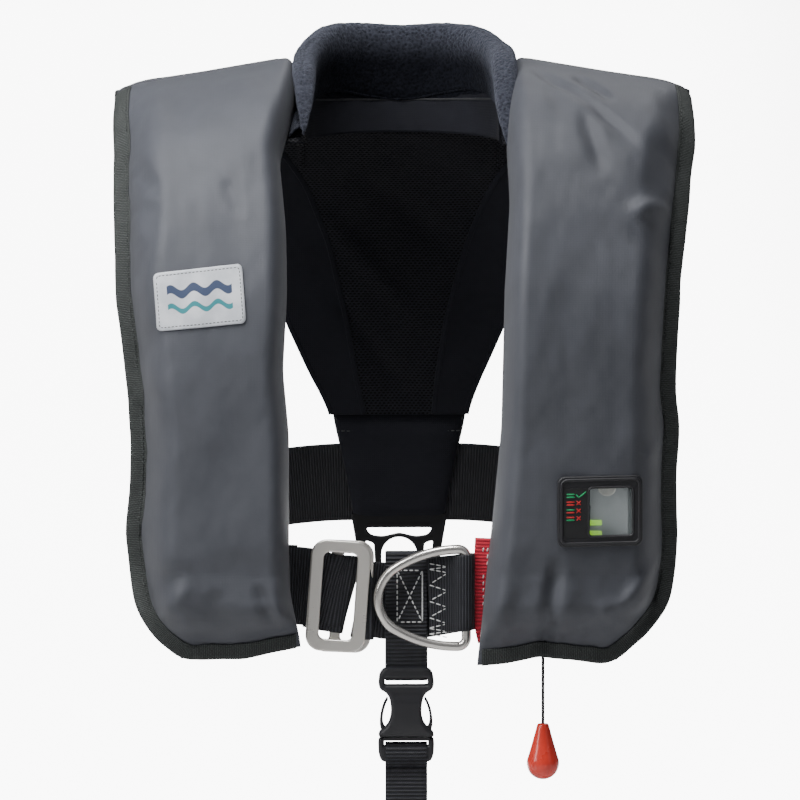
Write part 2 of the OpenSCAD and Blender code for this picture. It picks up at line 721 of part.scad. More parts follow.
module window_pane() {
    color([0.8, 0.85, 0.86, 0.4]) at_window(pane_x, 0.5, 0) rotate([90, 0, 0]) linear_extrude(1)
        round_rect(pane_w - 0.2, pane_h - 0.2, 1.9);
}

module status_card() {
    color("#1c1d1f") at_window(card_x, 0.5, 0) rotate([90, 0, 0]) linear_extrude(1)
        round_rect(card_w - 0.2, pane_h - 0.2, 1.4);
}

body_x = 119;
body_w = 36;
body_y = cord_y;
body_d = 22;
body_top_z = -238;
body_end_z = -284.5;
gas_x = 118;
gas_neck_d = 12.4;
gas_end_z = -124;
pivot_x = 114;
pivot_z = -293;
pin_d = 3;
run_gap = 0.05;
ear_gap = 8;
ear_t = 2;
head_t = 11;
head_w = 28;
head_h = 34;
head_z = -259;

module inflator_body() {
    color("#d9dbd8") difference() {
        union() {
            translate([body_x, body_y, (body_top_z + body_end_z) / 2])
                cube([body_w, body_d, body_top_z - body_end_z], center = true);
            // Display head behind the window
            translate([body_x, body_y - (body_d + head_t) / 2, head_z])
                cube([head_w, head_t, head_h], center = true);
            for (side = [-1, 1]) {
                translate([pivot_x, body_y + side * (ear_gap + ear_t) / 2, pivot_z + 4])
                    cube([10, ear_t, 16], center = true);
            }
        }
        // Socket for the cylinder's neck, and the guide of the piercing pin
        translate([gas_x, body_y, body_top_z - 12]) cylinder(h = 20, d = gas_neck_d + 0.2);
        translate([gas_x, body_y, body_end_z - 5]) cylinder(h = 60, d = pin_d + 2 * run_gap);
        translate([pivot_x, body_y, pivot_z]) rotate([90, 0, 0]) cylinder(h = 30, d = pin_d, center = true);
    }
}

module sensor_cartridge() {
    color("#9aa0a3") translate([body_x + body_w / 2 + 0.1, body_y + 3, -262]) rotate([0, 90, 0]) union() {
        cylinder(h = 6, d = 20);
        cylinder(h = 9, d = 14);
    }
}

module indicator_tabs() {
    color("#b7d63a") for (z = [-267, -273.5]) {
        translate([body_x - 6, body_y - body_d / 2 - head_t - 1, z]) cube([11, 1.8, 3.6], center = true);
    }
}

module gas_cylinder() {
    r = gas_d / 2;
    color("#b9bcc0") union() {
        translate([gas_x, body_y, body_top_z - 11]) cylinder(h = 16, d = gas_neck_d);
        translate([gas_x, body_y, body_top_z + 4]) cylinder(h = 8, r1 = gas_neck_d / 2, r2 = r);
        translate([gas_x, body_y, body_top_z + 12]) cylinder(h = gas_end_z - r - body_top_z - 12, r = r);
        translate([gas_x, body_y, gas_end_z - r]) sphere(r);
    }
}

// Lever at rest points up and to the side by half of its turn
lever_half_turn = asin(pull_travel / 2 / lever_len);
lever_t = 3;

module firing_lever() {
    color("#d04030") translate([pivot_x, body_y, pivot_z]) rotate([0, lever_half_turn, 0]) difference() {
        union() {
            rotate([90, 0, 0]) cylinder(h = ear_gap - 1, d = 9, center = true);
            translate([-lever_len - 6, -3.5, -lever_t / 2]) cube([lever_len + 6, 7, lever_t]);
        }
        rotate([90, 0, 0]) cylinder(h = 20, d = pin_d + 2 * run_gap, center = true);
        translate([-lever_len - 4.2, -1.6, -5]) cube([8.4, 3.2, 10]);
    }
}

module lever_pin() {
    color("#b8b8b8") translate([pivot_x, body_y, pivot_z]) rotate([90, 0, 0])
        cylinder(h = ear_gap + 2 * ear_t, d = pin_d, center = true);
}

module piercing_pin() {
    pin_low_z = pivot_z + 5.2;
    color("#a8a8a8") translate([gas_x, body_y, pin_low_z]) cylinder(h = body_top_z - 16 - pin_low_z, d = pin_d);
}

// ---- Pull cord ----
cord_top_z = pivot_z + pull_travel / 2 + 5;
toggle_top_z = -390;
// Points of the cord's route, straight down from the lever to the toggle
CORD = [[cord_x, cord_y, cord_top_z], [cord_x, cord_y, -290], [cord_x, cord_y, -300], [cord_x, cord_y, -310],
    [cord_x, cord_y, -320], [cord_x, cord_y, -330], [cord_x, cord_y, -340], [cord_x, cord_y, -350],
    [cord_x, cord_y, -360], [cord_x, cord_y, -370], [cord_x, cord_y, -380], [cord_x, cord_y, toggle_top_z]];

module pull_cord() {
    color("#17181b") tube(rings([for (p = CORD) [p[0], p[1], p[2], cord_d / 2, cord_d / 2]],
        round_section(8), [0, 1, 0]));
}

module cord_knot() {
    color("#17181b") translate([cord_x, cord_y, cord_top_z + 2.2]) intersection() {
        sphere(2.4);
        translate([0, 0, 0.2]) cube([5, 5, 4.8], center = true);
    }
}

toggle_h = 34;
toggle_r = 9.8;

// Teardrop: a ball and a straight taper that meets it without a kink
module pull_toggle() {
    ball_z = -toggle_h + toggle_r;
    neck_r = 3.4;
    touch = acos((toggle_r - neck_r) / (toggle_h - toggle_r));
    base_z = ball_z + toggle_r * cos(touch);
    color("#ee4438") translate([cord_x, cord_y, toggle_top_z]) union() {
        translate([0, 0, ball_z]) sphere(toggle_r);
        translate([0, 0, base_z]) cylinder(h = -base_z, r1 = toggle_r * sin(touch), r2 = neck_r);
    }
}

// ---- Oral tube and whistle, packed in the left lobe ----
oral_x = -110;
oral_y = -121;
oral_top_z = -185;
oral_end_z = -270;
oral_d = 12;
oral_bore = 8;
seat_h = 10;
stem_d = 4;

module oral_tube() {
    color("#2b2b2e") translate([oral_x, oral_y, oral_end_z]) difference() {
        cylinder(h = oral_top_z - oral_end_z, d = oral_d);
        translate([0, 0, -1]) cylinder(h = oral_top_z - oral_end_z + 2, d = oral_bore);
    }
}

module oral_valve() {
    color("#e9e9e6") translate([oral_x, oral_y, oral_end_z]) difference() {
        cylinder(h = seat_h, d = oral_bore);
        translate([0, 0, -1]) cylinder(h = seat_h + 2, d = stem_d + 2 * run_gap);
    }
}

module oral_poppet() {
    color("#d9d24a") translate([oral_x, oral_y, oral_end_z]) union() {
        translate([0, 0, -2.2]) cylinder(h = seat_h + 2.4, d = stem_d);
        translate([0, 0, seat_h + 0.2]) cylinder(h = 2, d = 6.4);
    }
}

cap_wall = 1.4;
cap_h = 13;

module oral_cap() {
    color("#e0e0dc") translate([oral_x, oral_y, oral_end_z - 5]) difference() {
        cylinder(h = cap_h, d = oral_d + 0.1 + 2 * cap_wall);
        translate([0, 0, cap_wall]) cylinder(h = cap_h, d = oral_d + 0.1);
    }
}

whistle_x = -137;
whistle_z = -235;

module whistle() {
    color("#f08a1c") difference() {
        translate([whistle_x, -122, whistle_z]) union() {
            cube([15, 7, 34], center = true);
            translate([0, 0, 17]) rotate([90, 0, 0]) cylinder(h = 7, d = 15, center = true);
        }
        translate([whistle_x, -122, whistle_z + 19]) rotate([90, 0, 0]) cylinder(h = 10, d = 5, center = true);
        translate([whistle_x, -123, whistle_z - 12]) cube([9, 7.1, 4], center = true);
    }
}

// Short lanyard from the whistle's eye to the oral tube
LANYARD = [[whistle_x, -122, -216], [whistle_x, -126, -216], [-135, -128, -214], [-130, -129, -207],
    [-122, -128.5, -203], [-115, -129, -200.5], [-110, -128.5, -199.5]];

module whistle_lanyard() {
    color("#e8e8e4") tube(rings([for (p = smooth(LANYARD, 2)) [p[0], p[1], p[2], 1, 1]],
        round_section(8), [0, 0, 1]));
}

left_front_cover();
right_front_cover();
neck_cover();
left_back_panel();
right_back_panel();
neck_back_panel();
left_binding();
right_binding();
neck_binding();
left_bladder();
right_bladder();
neck_bladder();
fleece_collar();
neck_lining();
yoke_mesh();
yoke_side_left();
yoke_side_right();
belt_sleeve();
waist_belt();
left_front_belt();
right_front_belt();
d_ring();
d_ring_loop();
buckle_frame();
buckle_plate();
rear_bracket();
lifting_loop();
upper_crotch_strap();
clip_female();
clip_male();
prong_left();
prong_right();
lower_crotch_strap();
strap_hank();
strap_keeper();
label_patch();
window_frame();
window_pane();
status_card();
inflator_body();
sensor_cartridge();
indicator_tabs();
gas_cylinder();
firing_lever();
lever_pin();
piercing_pin();
pull_cord();
cord_knot();
pull_toggle();
oral_tube();
oral_valve();
oral_poppet();
oral_cap();
whistle();
whistle_lanyard();
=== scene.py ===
"""Looks of the inflatable life jacket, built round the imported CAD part. Lengths in mm until they reach a mesh."""
import json
import math
from functools import partial

import bpy
import numpy as np
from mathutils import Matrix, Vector

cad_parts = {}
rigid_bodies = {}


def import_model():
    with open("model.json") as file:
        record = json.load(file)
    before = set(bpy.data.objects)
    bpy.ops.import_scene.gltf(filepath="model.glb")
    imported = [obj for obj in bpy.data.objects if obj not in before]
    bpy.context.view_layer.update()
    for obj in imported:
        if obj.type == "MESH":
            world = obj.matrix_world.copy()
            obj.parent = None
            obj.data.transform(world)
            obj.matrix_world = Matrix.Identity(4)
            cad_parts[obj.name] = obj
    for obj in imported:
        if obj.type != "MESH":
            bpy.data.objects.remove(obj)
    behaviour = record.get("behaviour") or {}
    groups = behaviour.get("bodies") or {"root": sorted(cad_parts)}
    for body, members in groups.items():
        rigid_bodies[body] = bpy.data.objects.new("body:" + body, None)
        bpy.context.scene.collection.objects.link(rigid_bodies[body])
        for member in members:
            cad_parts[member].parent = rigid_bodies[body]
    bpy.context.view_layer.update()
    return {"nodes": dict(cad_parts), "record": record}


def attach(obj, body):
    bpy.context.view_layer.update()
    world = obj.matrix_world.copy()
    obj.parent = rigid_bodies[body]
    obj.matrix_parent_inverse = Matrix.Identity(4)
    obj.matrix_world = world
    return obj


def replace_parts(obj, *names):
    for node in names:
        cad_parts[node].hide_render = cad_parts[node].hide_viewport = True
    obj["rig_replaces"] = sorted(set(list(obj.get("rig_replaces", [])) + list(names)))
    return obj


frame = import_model()
MM = 0.001


# ---- Camera: very far off with a long lens, a little above ----
def linked(name, data):
    """New object in the scene for that data."""
    obj = bpy.data.objects.new(name, data)
    bpy.context.scene.collection.objects.link(obj)
    return obj


def look_at(obj, target):
    obj.rotation_euler = (Vector(target) - obj.location).to_track_quat("-Z", "Y").to_euler()


AIM = (-0.0015, 0.0, -0.208)
TURN, RISE, AWAY = math.radians(-1.2), math.radians(8), 18.0
VIEW_WIDTH, SENSOR = 0.485, 36
camera = linked("camera", bpy.data.cameras.new("camera"))
camera.location = Vector(AIM) + AWAY * Vector(
    (math.sin(TURN) * math.cos(RISE), -math.cos(TURN) * math.cos(RISE), math.sin(RISE)))
look_at(camera, AIM)
camera.data.sensor_width = SENSOR
camera.data.lens = SENSOR * AWAY / VIEW_WIDTH
camera.data.clip_end = 50
bpy.context.scene.camera = camera


# ---- Materials ----
MAT = {}  # by name, as each Shader is made


class Shader:
    """A Principled material and short ways to build the nodes that feed it."""

    def __init__(self, name, color, rough=0.6, **extra):
        MAT[name] = bpy.data.materials.new(name)
        MAT[name].use_nodes = True
        self.tree = MAT[name].node_tree
        self.bsdf = self.tree.nodes["Principled BSDF"]
        self.put("Base Color", (*color, 1) if isinstance(color, tuple) else color)
        self.put("Roughness", rough)
        for key, value in extra.items():
            self.put(key.replace("_", " "), value)
        coord = self.node("ShaderNodeTexCoord")
        self.uv, self.point = coord.outputs["UV"], coord.outputs["Object"]

    def node(self, kind, **inputs):
        n = self.tree.nodes.new(kind)
        for key, value in inputs.items():
            self.feed(n.inputs[key.replace("_", " ")], value)
        return n

    def feed(self, socket, value):
        if isinstance(value, bpy.types.NodeSocket):
            self.tree.links.new(value, socket)
        else:
            socket.default_value = value

    def put(self, name, value):
        self.feed(self.bsdf.inputs[name], value)

    def math(self, op, a, b=0.0, c=0.0):
        n = self.tree.nodes.new("ShaderNodeMath")
        n.operation = op
        for socket, value in zip(n.inputs, (a, b, c)):
            self.feed(socket, value)
        return n.outputs[0]

    def noise(self, scale, detail=3.0, where=None, stretch=None, rough=0.55):
        where = where or self.point
        if stretch:
            where = self.node("ShaderNodeMapping", Vector=where, Scale=stretch).outputs[0]
        return self.node("ShaderNodeTexNoise", Vector=where, Scale=scale, Detail=detail,
                         Roughness=rough).outputs[0]

    def ramp(self, value, low, high, to_low=0.0, to_high=1.0):
        n = self.node("ShaderNodeMapRange", Value=value)
        for socket, v in zip(n.inputs[1:5], (low, high, to_low, to_high)):
            socket.default_value = v
        n.interpolation_type = "SMOOTHSTEP"
        return n.outputs[0]

    def mix(self, share, a, b, blend="MIX"):
        n = self.tree.nodes.new("ShaderNodeMix")
        n.data_type, n.blend_type = "RGBA", blend
        for socket, value in zip((n.inputs[0], n.inputs[6], n.inputs[7]), (share, a, b)):
            self.feed(socket, (*value, 1) if isinstance(value, tuple) and len(value) == 3 else value)
        return n.outputs[2]

    def axis(self, i, where=None):
        return self.node("ShaderNodeSeparateXYZ", Vector=where or self.uv).outputs[i]

    def waves(self, value, pitch, phase=0.0):
        """0 to 1 and back once in every pitch of value."""
        turn = self.math("MULTIPLY_ADD", value, 2 * math.pi / pitch, phase)
        return self.math("MULTIPLY_ADD", self.math("SINE", turn), 0.5, 0.5)

    def bump(self, height, strength, distance):
        last = self.bsdf.inputs["Normal"]
        n = self.node("ShaderNodeBump", Height=height, Strength=strength, Distance=distance)
        if last.is_linked:
            self.tree.links.new(last.links[0].from_socket, n.inputs["Normal"])
        self.feed(last, n.outputs[0])
        return self


def shades(s, color, spread, scale):
    """Gives s a base colour that wanders a little darker and lighter."""
    s.put("Base Color", s.mix(s.ramp(s.noise(scale), 0.3, 0.7), tuple(c * (1 - spread) for c in color),
                              tuple(c * (1 + spread) for c in color)))
    return s


def cloth(name, color, rough, sheen, weave, strength, **extra):
    """Plain weave in metres along the UV axes, over a faint uneven handle."""
    s = Shader(name, color, rough, Sheen_Weight=sheen, Sheen_Roughness=0.45, **extra)
    shades(s, color, 0.06, 45)
    threads = s.math("MULTIPLY", s.waves(s.axis(0), weave), s.waves(s.axis(1), weave))
    s.bump(threads, strength, 0.0002).bump(s.noise(900, 2), 0.12, 0.0003)
    s.bump(s.noise(38, 4), 0.16, 0.002)


def webbing(name, color, pitch, light=2.2, rough=0.55, depth=0.0006):
    """Cross ribs every pitch along U, each rib twisted from fine threads."""
    s = Shader(name, color, rough, Sheen_Weight=0.04, Sheen_Roughness=0.4, Specular_IOR_Level=0.3)
    along, across = s.axis(0), s.axis(1)
    rib = s.waves(along, pitch)
    fine = s.waves(s.math("ADD", across, s.math("MULTIPLY", along, 0.6)), 0.0011)
    high = s.math("MULTIPLY_ADD", fine, 0.25, rib)
    # Painted highlight and shade: the colour is lighter on the rib tops and darker in the valleys and between the fine
    # threads, light setting how far the tops are lightened; the noise adds real uneven tone
    rib_shade_and_tone = s.math("MULTIPLY", s.ramp(rib, 0.15, 1.0), s.math("MULTIPLY_ADD", fine, 0.5, 0.5))
    rib_shade_and_tone = s.math("MULTIPLY", rib_shade_and_tone, s.ramp(s.noise(120, 3), 0.2, 0.8, 0.6, 1.0))
    s.put("Base Color", s.mix(rib_shade_and_tone, tuple(c * 0.45 for c in color), tuple(c * light for c in color)))
    s.bump(high, 0.9, depth)


def plastic(name, color, rough=0.4, grain=0.15, scale=700, **extra):
    s = shades(Shader(name, color, rough, **extra), color, 0.08, 60)
    s.put("Roughness", s.ramp(s.noise(35, 4), 0.2, 0.8, rough * 0.85, min(1, rough * 1.2)))
    s.bump(s.noise(scale, 2), grain, 0.0002)


def steel(name, color, rough, scratch, metal=1.0):
    """Metal with fine brushing and small handling marks; a tumbled finish is less than all mirror."""
    s = Shader(name, color, rough, Metallic=metal)
    brushed = s.noise(260, 4, stretch=(1, 1, 14))
    s.put("Roughness", s.ramp(s.math("MULTIPLY_ADD", s.noise(30, 3), 0.6, s.math("MULTIPLY", brushed, 0.4)),
                              0.3, 0.7, rough * 0.8, rough * 1.3))
    s.bump(brushed, scratch, 0.0001)


def braid(name, color):
    s = Shader(name, color, 0.7, Sheen_Weight=0.3)
    a = s.waves(s.math("ADD", s.axis(0), s.axis(1)), 0.0012)
    b = s.waves(s.math("SUBTRACT", s.axis(0), s.axis(1)), 0.0012)
    high = s.math("MAXIMUM", a, b)
    # Painted shade and highlight: the colour is darker between the strands and lighter on their crowns
    s.put("Base Color", s.mix(high, tuple(c * 0.5 for c in color), tuple(c * 1.8 for c in color)))
    s.bump(high, 0.7, 0.0003)


def fleece():
    s = Shader("fleece", (0.02, 0.02, 0.03), 0.95, Sheen_Weight=0.22, Sheen_Roughness=0.6,
               Sheen_Tint=(0.62, 0.66, 0.8, 1), Specular_IOR_Level=0.1)
    curl = s.node("ShaderNodeTexVoronoi", Vector=s.point, Scale=520.0).outputs[0]
    pile = s.math("MULTIPLY_ADD", s.noise(700, 4, rough=0.7), 0.8, s.math("MULTIPLY", curl, 0.6))
    tint = s.mix(s.ramp(pile, 0.3, 0.95), (0.007, 0.008, 0.012), (0.040, 0.043, 0.058))
    # Painted shade: low on the inside of the nape, where the collar is folded over, the pile is darkened and its sheen
    # lowered
    low = s.math("MULTIPLY", s.ramp(s.axis(2, s.point), -0.010, 0.014, 1.0, 0.0),
                 s.ramp(s.axis(1, s.point), -0.03, 0.02))
    s.put("Base Color", s.mix(1.0, tint, s.mix(low, (1.0, 1.0, 1.0), (0.16, 0.17, 0.20)), "MULTIPLY"))
    s.put("Sheen Weight", s.math("MULTIPLY_ADD", low, -0.2, 0.22))
    s.bump(pile, 1.0, 0.0012).bump(s.noise(120, 4), 0.5, 0.003)


def net(name, color, pitch):
    """Knitted mesh: rows of small holes, every other row shifted by half a hole."""
    s = Shader(name, color, 0.8, Sheen_Weight=0.02, Specular_IOR_Level=0.15)
    u, v = s.axis(0), s.axis(1)
    row = s.math("FLOOR", s.math("DIVIDE", v, pitch * 0.62))
    shift = s.math("MULTIPLY", s.math("MODULO", s.math("ABSOLUTE", row), 2), pitch / 2)
    a = s.waves(s.math("ADD", u, shift), pitch)
    b = s.waves(v, pitch * 0.62, -math.pi / 2)
    thread = s.ramp(s.math("MULTIPLY", a, b), 0.15, 0.5, 1.0, 0.0)
    # Painted shade: the holes are coloured near black, for the dark seen through them
    s.put("Base Color", s.mix(thread, (0.0008, 0.0008, 0.0012), color))
    s.put("Roughness", s.ramp(thread, 0, 1, 0.95, 0.5))
    s.bump(thread, 0.8, 0.0008)


def clear():
    s = Shader("clear_plastic", (0.75, 0.85, 0.86), 0.08, Alpha=0.1)
    s.put("Roughness", s.ramp(s.noise(40, 3), 0.3, 0.7, 0.05, 0.12))


def label_face():
    """Pale woven label with two plain wave bands."""
    s = Shader("label", (0.6, 0.62, 0.66), 0.6, Sheen_Weight=0.2)
    u, v = s.axis(0), s.axis(1)
    level = s.math("ADD", v, s.math("MULTIPLY", s.math("SINE", s.math("MULTIPLY", u, 2 * math.pi / 0.014)), 0.0016))
    inside = s.math("LESS_THAN", s.math("ABSOLUTE", u), 0.0195)

    def band(at, half):
        gap = s.math("ABSOLUTE", s.math("SUBTRACT", level, at))
        return s.math("MULTIPLY", s.ramp(gap, half - 0.0002, half + 0.0002, 1, 0), inside)

    weave = s.math("MULTIPLY", s.waves(u, 0.0008), s.waves(v, 0.0008))
    pale = s.mix(s.ramp(s.noise(90, 3), 0.3, 0.7), (0.52, 0.545, 0.59), (0.66, 0.68, 0.72))
    tint = s.mix(band(0.0042, 0.0021), pale, (0.03, 0.05, 0.11))
    tint = s.mix(band(-0.0042, 0.0013), tint, (0.02, 0.21, 0.24))
    s.put("Base Color", tint)
    s.bump(weave, 0.3, 0.0002)


cloth("cover_cloth", (0.066, 0.070, 0.083), 0.58, 0.06, 0.0009, 0.22, Specular_IOR_Level=0.4)
cloth("lining_cloth", (0.012, 0.013, 0.016), 0.75, 0.03, 0.0012, 0.5)
webbing("binding", (0.052, 0.058, 0.056), 0.0011, 1.5, 0.75, 0.0002)
cloth("bladder_cloth", (0.8, 0.55, 0.02), 0.5, 0.2, 0.001, 0.3)
cloth("yoke_cloth", (0.0095, 0.010, 0.014), 0.85, 0.03, 0.0012, 0.5, Specular_IOR_Level=0.15)
webbing("belt_webbing", (0.022, 0.023, 0.028), 0.0016, 2.4, depth=0.0004)
# A darker copy of the belt webbing: painted shade for the waist belt, which lies in shade round the back
webbing("shaded_rear_webbing", (0.008, 0.0085, 0.011), 0.0016, 2.2, depth=0.0004)
webbing("strap_webbing", (0.018, 0.019, 0.024), 0.0023, 2.2)
webbing("elastic", (0.015, 0.015, 0.017), 0.0012, 2.0)
webbing("red_webbing", (0.95, 0.045, 0.085), 0.0021, 1.05, 0.6, 0.0002)
steel("satin_steel", (0.78, 0.75, 0.70), 0.33, 0.1, metal=0.75)
steel("polished_steel", (0.80, 0.77, 0.73), 0.2, 0.04, metal=0.85)
plastic("black_plastic", (0.018, 0.018, 0.021), 0.42)
plastic("dark_plastic", (0.006, 0.006, 0.007), 0.6, Specular_IOR_Level=0.25)
steel("gas_steel", (0.5, 0.51, 0.52), 0.4, 0.1)
steel("pin_steel", (0.5, 0.5, 0.5), 0.3, 0.05)
plastic("lever_plastic", (0.6, 0.06, 0.03), 0.3)
plastic("toggle_red", (0.80, 0.050, 0.030), 0.28, 0.04, Coat_Weight=0.4, Coat_Roughness=0.15)
plastic("tube_rubber", (0.02, 0.02, 0.022), 0.7)
plastic("valve_plastic", (0.86, 0.84, 0.76), 0.5)
plastic("poppet_plastic", (0.65, 0.55, 0.08), 0.45)
plastic("whistle_plastic", (0.85, 0.22, 0.02), 0.3)
plastic("grey_plastic", (0.55, 0.58, 0.585), 0.5)
# The indicator tabs glow with an emission: painted light, so that they read bright green through the pane
plastic("indicator", (0.42, 0.78, 0.03), 0.35, Emission_Color=(0.4, 0.9, 0.02, 1), Emission_Strength=0.6)
plastic("card", (0.012, 0.012, 0.013), 0.5)
plastic("thread_grey", (0.035, 0.039, 0.038), 0.7)
plastic("thread_white", (0.72, 0.72, 0.72), 0.7)
plastic("mark_green", (0.01, 0.33, 0.11), 0.5)
plastic("mark_red", (0.55, 0.02, 0.02), 0.5)
braid("cord", (0.012, 0.012, 0.014))
fleece()
label_face()
net("mesh", (0.0075, 0.008, 0.012), 0.0026)
clear()


# ---- Mesh building ----
FRONT, BACK = (0, -1, 0), (0, 1, 0)


def table(*pairs, blur=0.0):
    """Value between given pairs, with its corners rounded over blur either way."""
    xs, ys = np.array(pairs, float).T
    steps = np.linspace(-blur, blur, 9) if blur else [0.0]
    return lambda x: sum(np.interp(np.asarray(x, float) + k, xs, ys) for k in steps) / len(steps)


def ease(x, low, high):
    t = np.clip((np.asarray(x, float) - low) / (high - low), 0, 1)
    return t * t * (3 - 2 * t)


def drift(x, y, seed):
    """Smooth noise from -1 to 1 that changes over a unit of x and y."""
    knots = np.random.default_rng(seed).uniform(-1, 1, (128, 128))
    x, y = np.broadcast_arrays(np.asarray(x, float) + 40, np.asarray(y, float) + 40)
    i, j = np.floor(x).astype(int), np.floor(y).astype(int)
    a, b = x - i, y - j
    a, b = a * a * (3 - 2 * a), b * b * (3 - 2 * b)
    k = lambda p, q: knots[p % 128, q % 128]
    return (k(i, j) * (1 - a) + k(i + 1, j) * a) * (1 - b) + (k(i, j + 1) * (1 - a) + k(i + 1, j + 1) * a) * b


def finish_mesh(obj, slot, body="jacket", replaces=(), mat=None, smooth=True):
    """Material, paint slot, body and replaced nodes of a new piece; mat is a material other than the slot's own."""
    obj.data.materials.clear()
    obj.data.materials.append(MAT[mat or slot])
    obj.data.polygons.foreach_set("use_smooth", [smooth] * len(obj.data.polygons))
    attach(obj, body)
    if replaces:
        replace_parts(obj, *replaces)
    return obj


def add_mesh(name, points, faces, slot, uv=None, **more):
    mesh = bpy.data.meshes.new(name)
    mesh.from_pydata((np.asarray(points, float) * MM).tolist(), [], [list(map(int, f)) for f in faces])
    if uv is not None:
        order = np.zeros(len(mesh.loops), int)
        mesh.loops.foreach_get("vertex_index", order)
        mesh.uv_layers.new(name="UVMap").data.foreach_set("uv", (np.asarray(uv, float) * MM)[order].ravel())
    return finish_mesh(linked(name, mesh), slot, **more)


def coords(*values):
    """Points from their coordinates, each an array or one number."""
    return np.stack(np.broadcast_arrays(*values), -1)


def unit(v):
    return v / np.maximum(np.linalg.norm(v, axis=-1, keepdims=True), 1e-9)


def quads(rows, cols, around=False):
    """Faces of a grid of points, row by row."""
    r, c = np.meshgrid(np.arange(rows - 1), np.arange(cols if around else cols - 1), indexing="ij")
    a, b = r * cols + c, r * cols + (c + 1) % cols
    return np.stack([a, b, b + cols, a + cols], -1).reshape(-1, 4).tolist()


def tube(rows, cols):
    """Faces of a grid closed round its columns, with a cap at each end."""
    return quads(rows, cols, around=True) + [list(range(cols))[::-1], [(rows - 1) * cols + c for c in range(cols)]]


def normals(p):
    return unit(np.cross(np.gradient(p, axis=1), np.gradient(p, axis=0)))


def sheet(name, p, uv, slot, thick=0.8, opening=None, **more):
    """Closed sheet of that thickness under the grid p; rows then columns. opening marks squares left out."""
    rows, cols = p.shape[:2]
    n = rows * cols
    under = p - normals(p) * thick
    opening = np.zeros((rows - 1, cols - 1), bool) if opening is None else opening
    kept = [f for f, out in zip(quads(rows, cols), opening.ravel()) if not out]
    sides = {(a, b) for f in kept for a, b in zip(f, f[1:] + f[:1])}
    faces = kept + [[a + n for a in f[::-1]] for f in kept]
    faces += [[b, a, a + n, b + n] for a, b in sorted(sides) if (b, a) not in sides]
    used, faces = np.unique(np.concatenate(faces), return_inverse=True)
    points = np.concatenate([p.reshape(-1, 3), under.reshape(-1, 3)])[used]
    return add_mesh(name, points, faces.reshape(-1, 4), slot, uv=np.tile(uv.reshape(-1, 2), (2, 1))[used], **more)


def spline(points, step=2.0):
    """Even points along a smooth curve through the given ones."""
    p = np.array(points, float)
    full = np.vstack([2 * p[0] - p[1], p, 2 * p[-1] - p[-2]])
    t = np.linspace(0, 1, 24, endpoint=False)[:, None]
    out = [0.5 * (2 * b + (c - a) * t + (2 * a - 5 * b + 4 * c - d) * t ** 2 + (3 * b - a - 3 * c + d) * t ** 3)
           for a, b, c, d in zip(full, full[1:], full[2:], full[3:])]
    return resample(np.vstack(out + [p[-1:]]), step)


def lengths(p):
    """How far along the path each of its points is."""
    return np.concatenate([[0], np.cumsum(np.linalg.norm(np.diff(p, axis=0), axis=1))])


def smoothed(columns, reach):
    """Running mean of both columns, over reach points either way."""
    window = np.ones(2 * reach + 1) / (2 * reach + 1)
    return np.stack([np.convolve(np.pad(columns[:, i], reach, mode="edge"), window, "valid") for i in (0, 1)], 1)


def resample(p, step):
    run = lengths(p)
    at = np.linspace(0, run[-1], max(2, int(round(run[-1] / step)) + 1))
    return np.stack([np.interp(at, run, p[:, i]) for i in range(3)], 1)


def flat_section(width, thick, n=5):
    """Loop of (outwards, across) for a strap with rounded edges."""
    r = thick / 2
    turn = np.linspace(-90, 90, n) * math.pi / 180
    across = np.linspace(width / 2 - r, -width / 2 + r, 9)[1:-1]
    right = [(r * math.sin(a), width / 2 - r + r * math.cos(a)) for a in turn]
    top = [(r, x) for x in across]
    return np.array(right + top + [(-a, -b) for a, b in right] + [(-a, -b) for a, b in top])


def round_section(r, n=12):
    turn = np.linspace(0, 2 * math.pi, n, endpoint=False)
    return coords(r * np.cos(turn), r * np.sin(turn))


def sweep(name, path, section, out, slot, closed=False, **more):
    """Solid of that section along path. out is the outward direction, one or one a point."""
    path = np.asarray(path, float)
    d = unit(np.roll(path, -1, 0) - np.roll(path, 1, 0) if closed else np.gradient(path, axis=0))
    out = np.broadcast_to(np.asarray(out, float), path.shape)
    out = unit(out - (out * d).sum(1, keepdims=True) * d)
    p = path[:, None] + out[:, None] * section[:, :1] + np.cross(d, out)[:, None] * section[:, 1:]
    rows, cols = p.shape[:2]
    run, edge = lengths(path), lengths(section)
    wide = np.ptp(section[:, 1]) > 2 * np.ptp(section[:, 0])
    uv = coords(run[:, None], section[:, 1] if wide else edge)
    faces = tube(rows, cols)
    if closed:
        last = (rows - 1) * cols
        faces[-2:] = [[last + c, last + (c + 1) % cols, (c + 1) % cols, c] for c in range(cols)]
    return add_mesh(name, p.reshape(-1, 3), faces, slot, uv=uv.reshape(-1, 2), **more)


def beads(name, at, along, up, size, slot, **more):
    """Small rounded stitches or marks: at, along and up one a stitch; size is (length, width, height)."""
    at, along, up = (np.asarray(v, float).reshape(-1, 3) for v in (at, along, up))
    along = unit(along)
    up = unit(up - (up * along).sum(1, keepdims=True) * along)
    side = np.cross(up, along)
    rings, m = [(-1, 0.25), (-0.72, 0.85), (0, 1), (0.72, 0.85), (1, 0.25)], 6
    turn = np.linspace(0, 2 * math.pi, m, endpoint=False)
    shape = np.array([(x, r * math.cos(a), r * math.sin(a)) for x, r in rings for a in turn]) * np.array(size) / 2
    p = (at[:, None] + along[:, None] * shape[None, :, :1] + side[:, None] * shape[None, :, 1:2]
         + up[:, None] * shape[None, :, 2:])
    k = len(shape)
    faces = [[v + i * k for v in f] for i in range(len(at)) for f in tube(len(rings), m)]
    return add_mesh(name, p.reshape(-1, 3), faces, slot, **more)


def stitch_line(path, up, pitch=3.0):
    """Stitch centres, directions and up vectors along a path."""
    p = resample(np.asarray(path, float), pitch / 2)
    mids, ways = p[1:-1:2], p[2::2][:len(p[1:-1:2])] - p[:-2:2][:len(p[1:-1:2])]
    return mids, ways, np.broadcast_to(up, mids.shape)


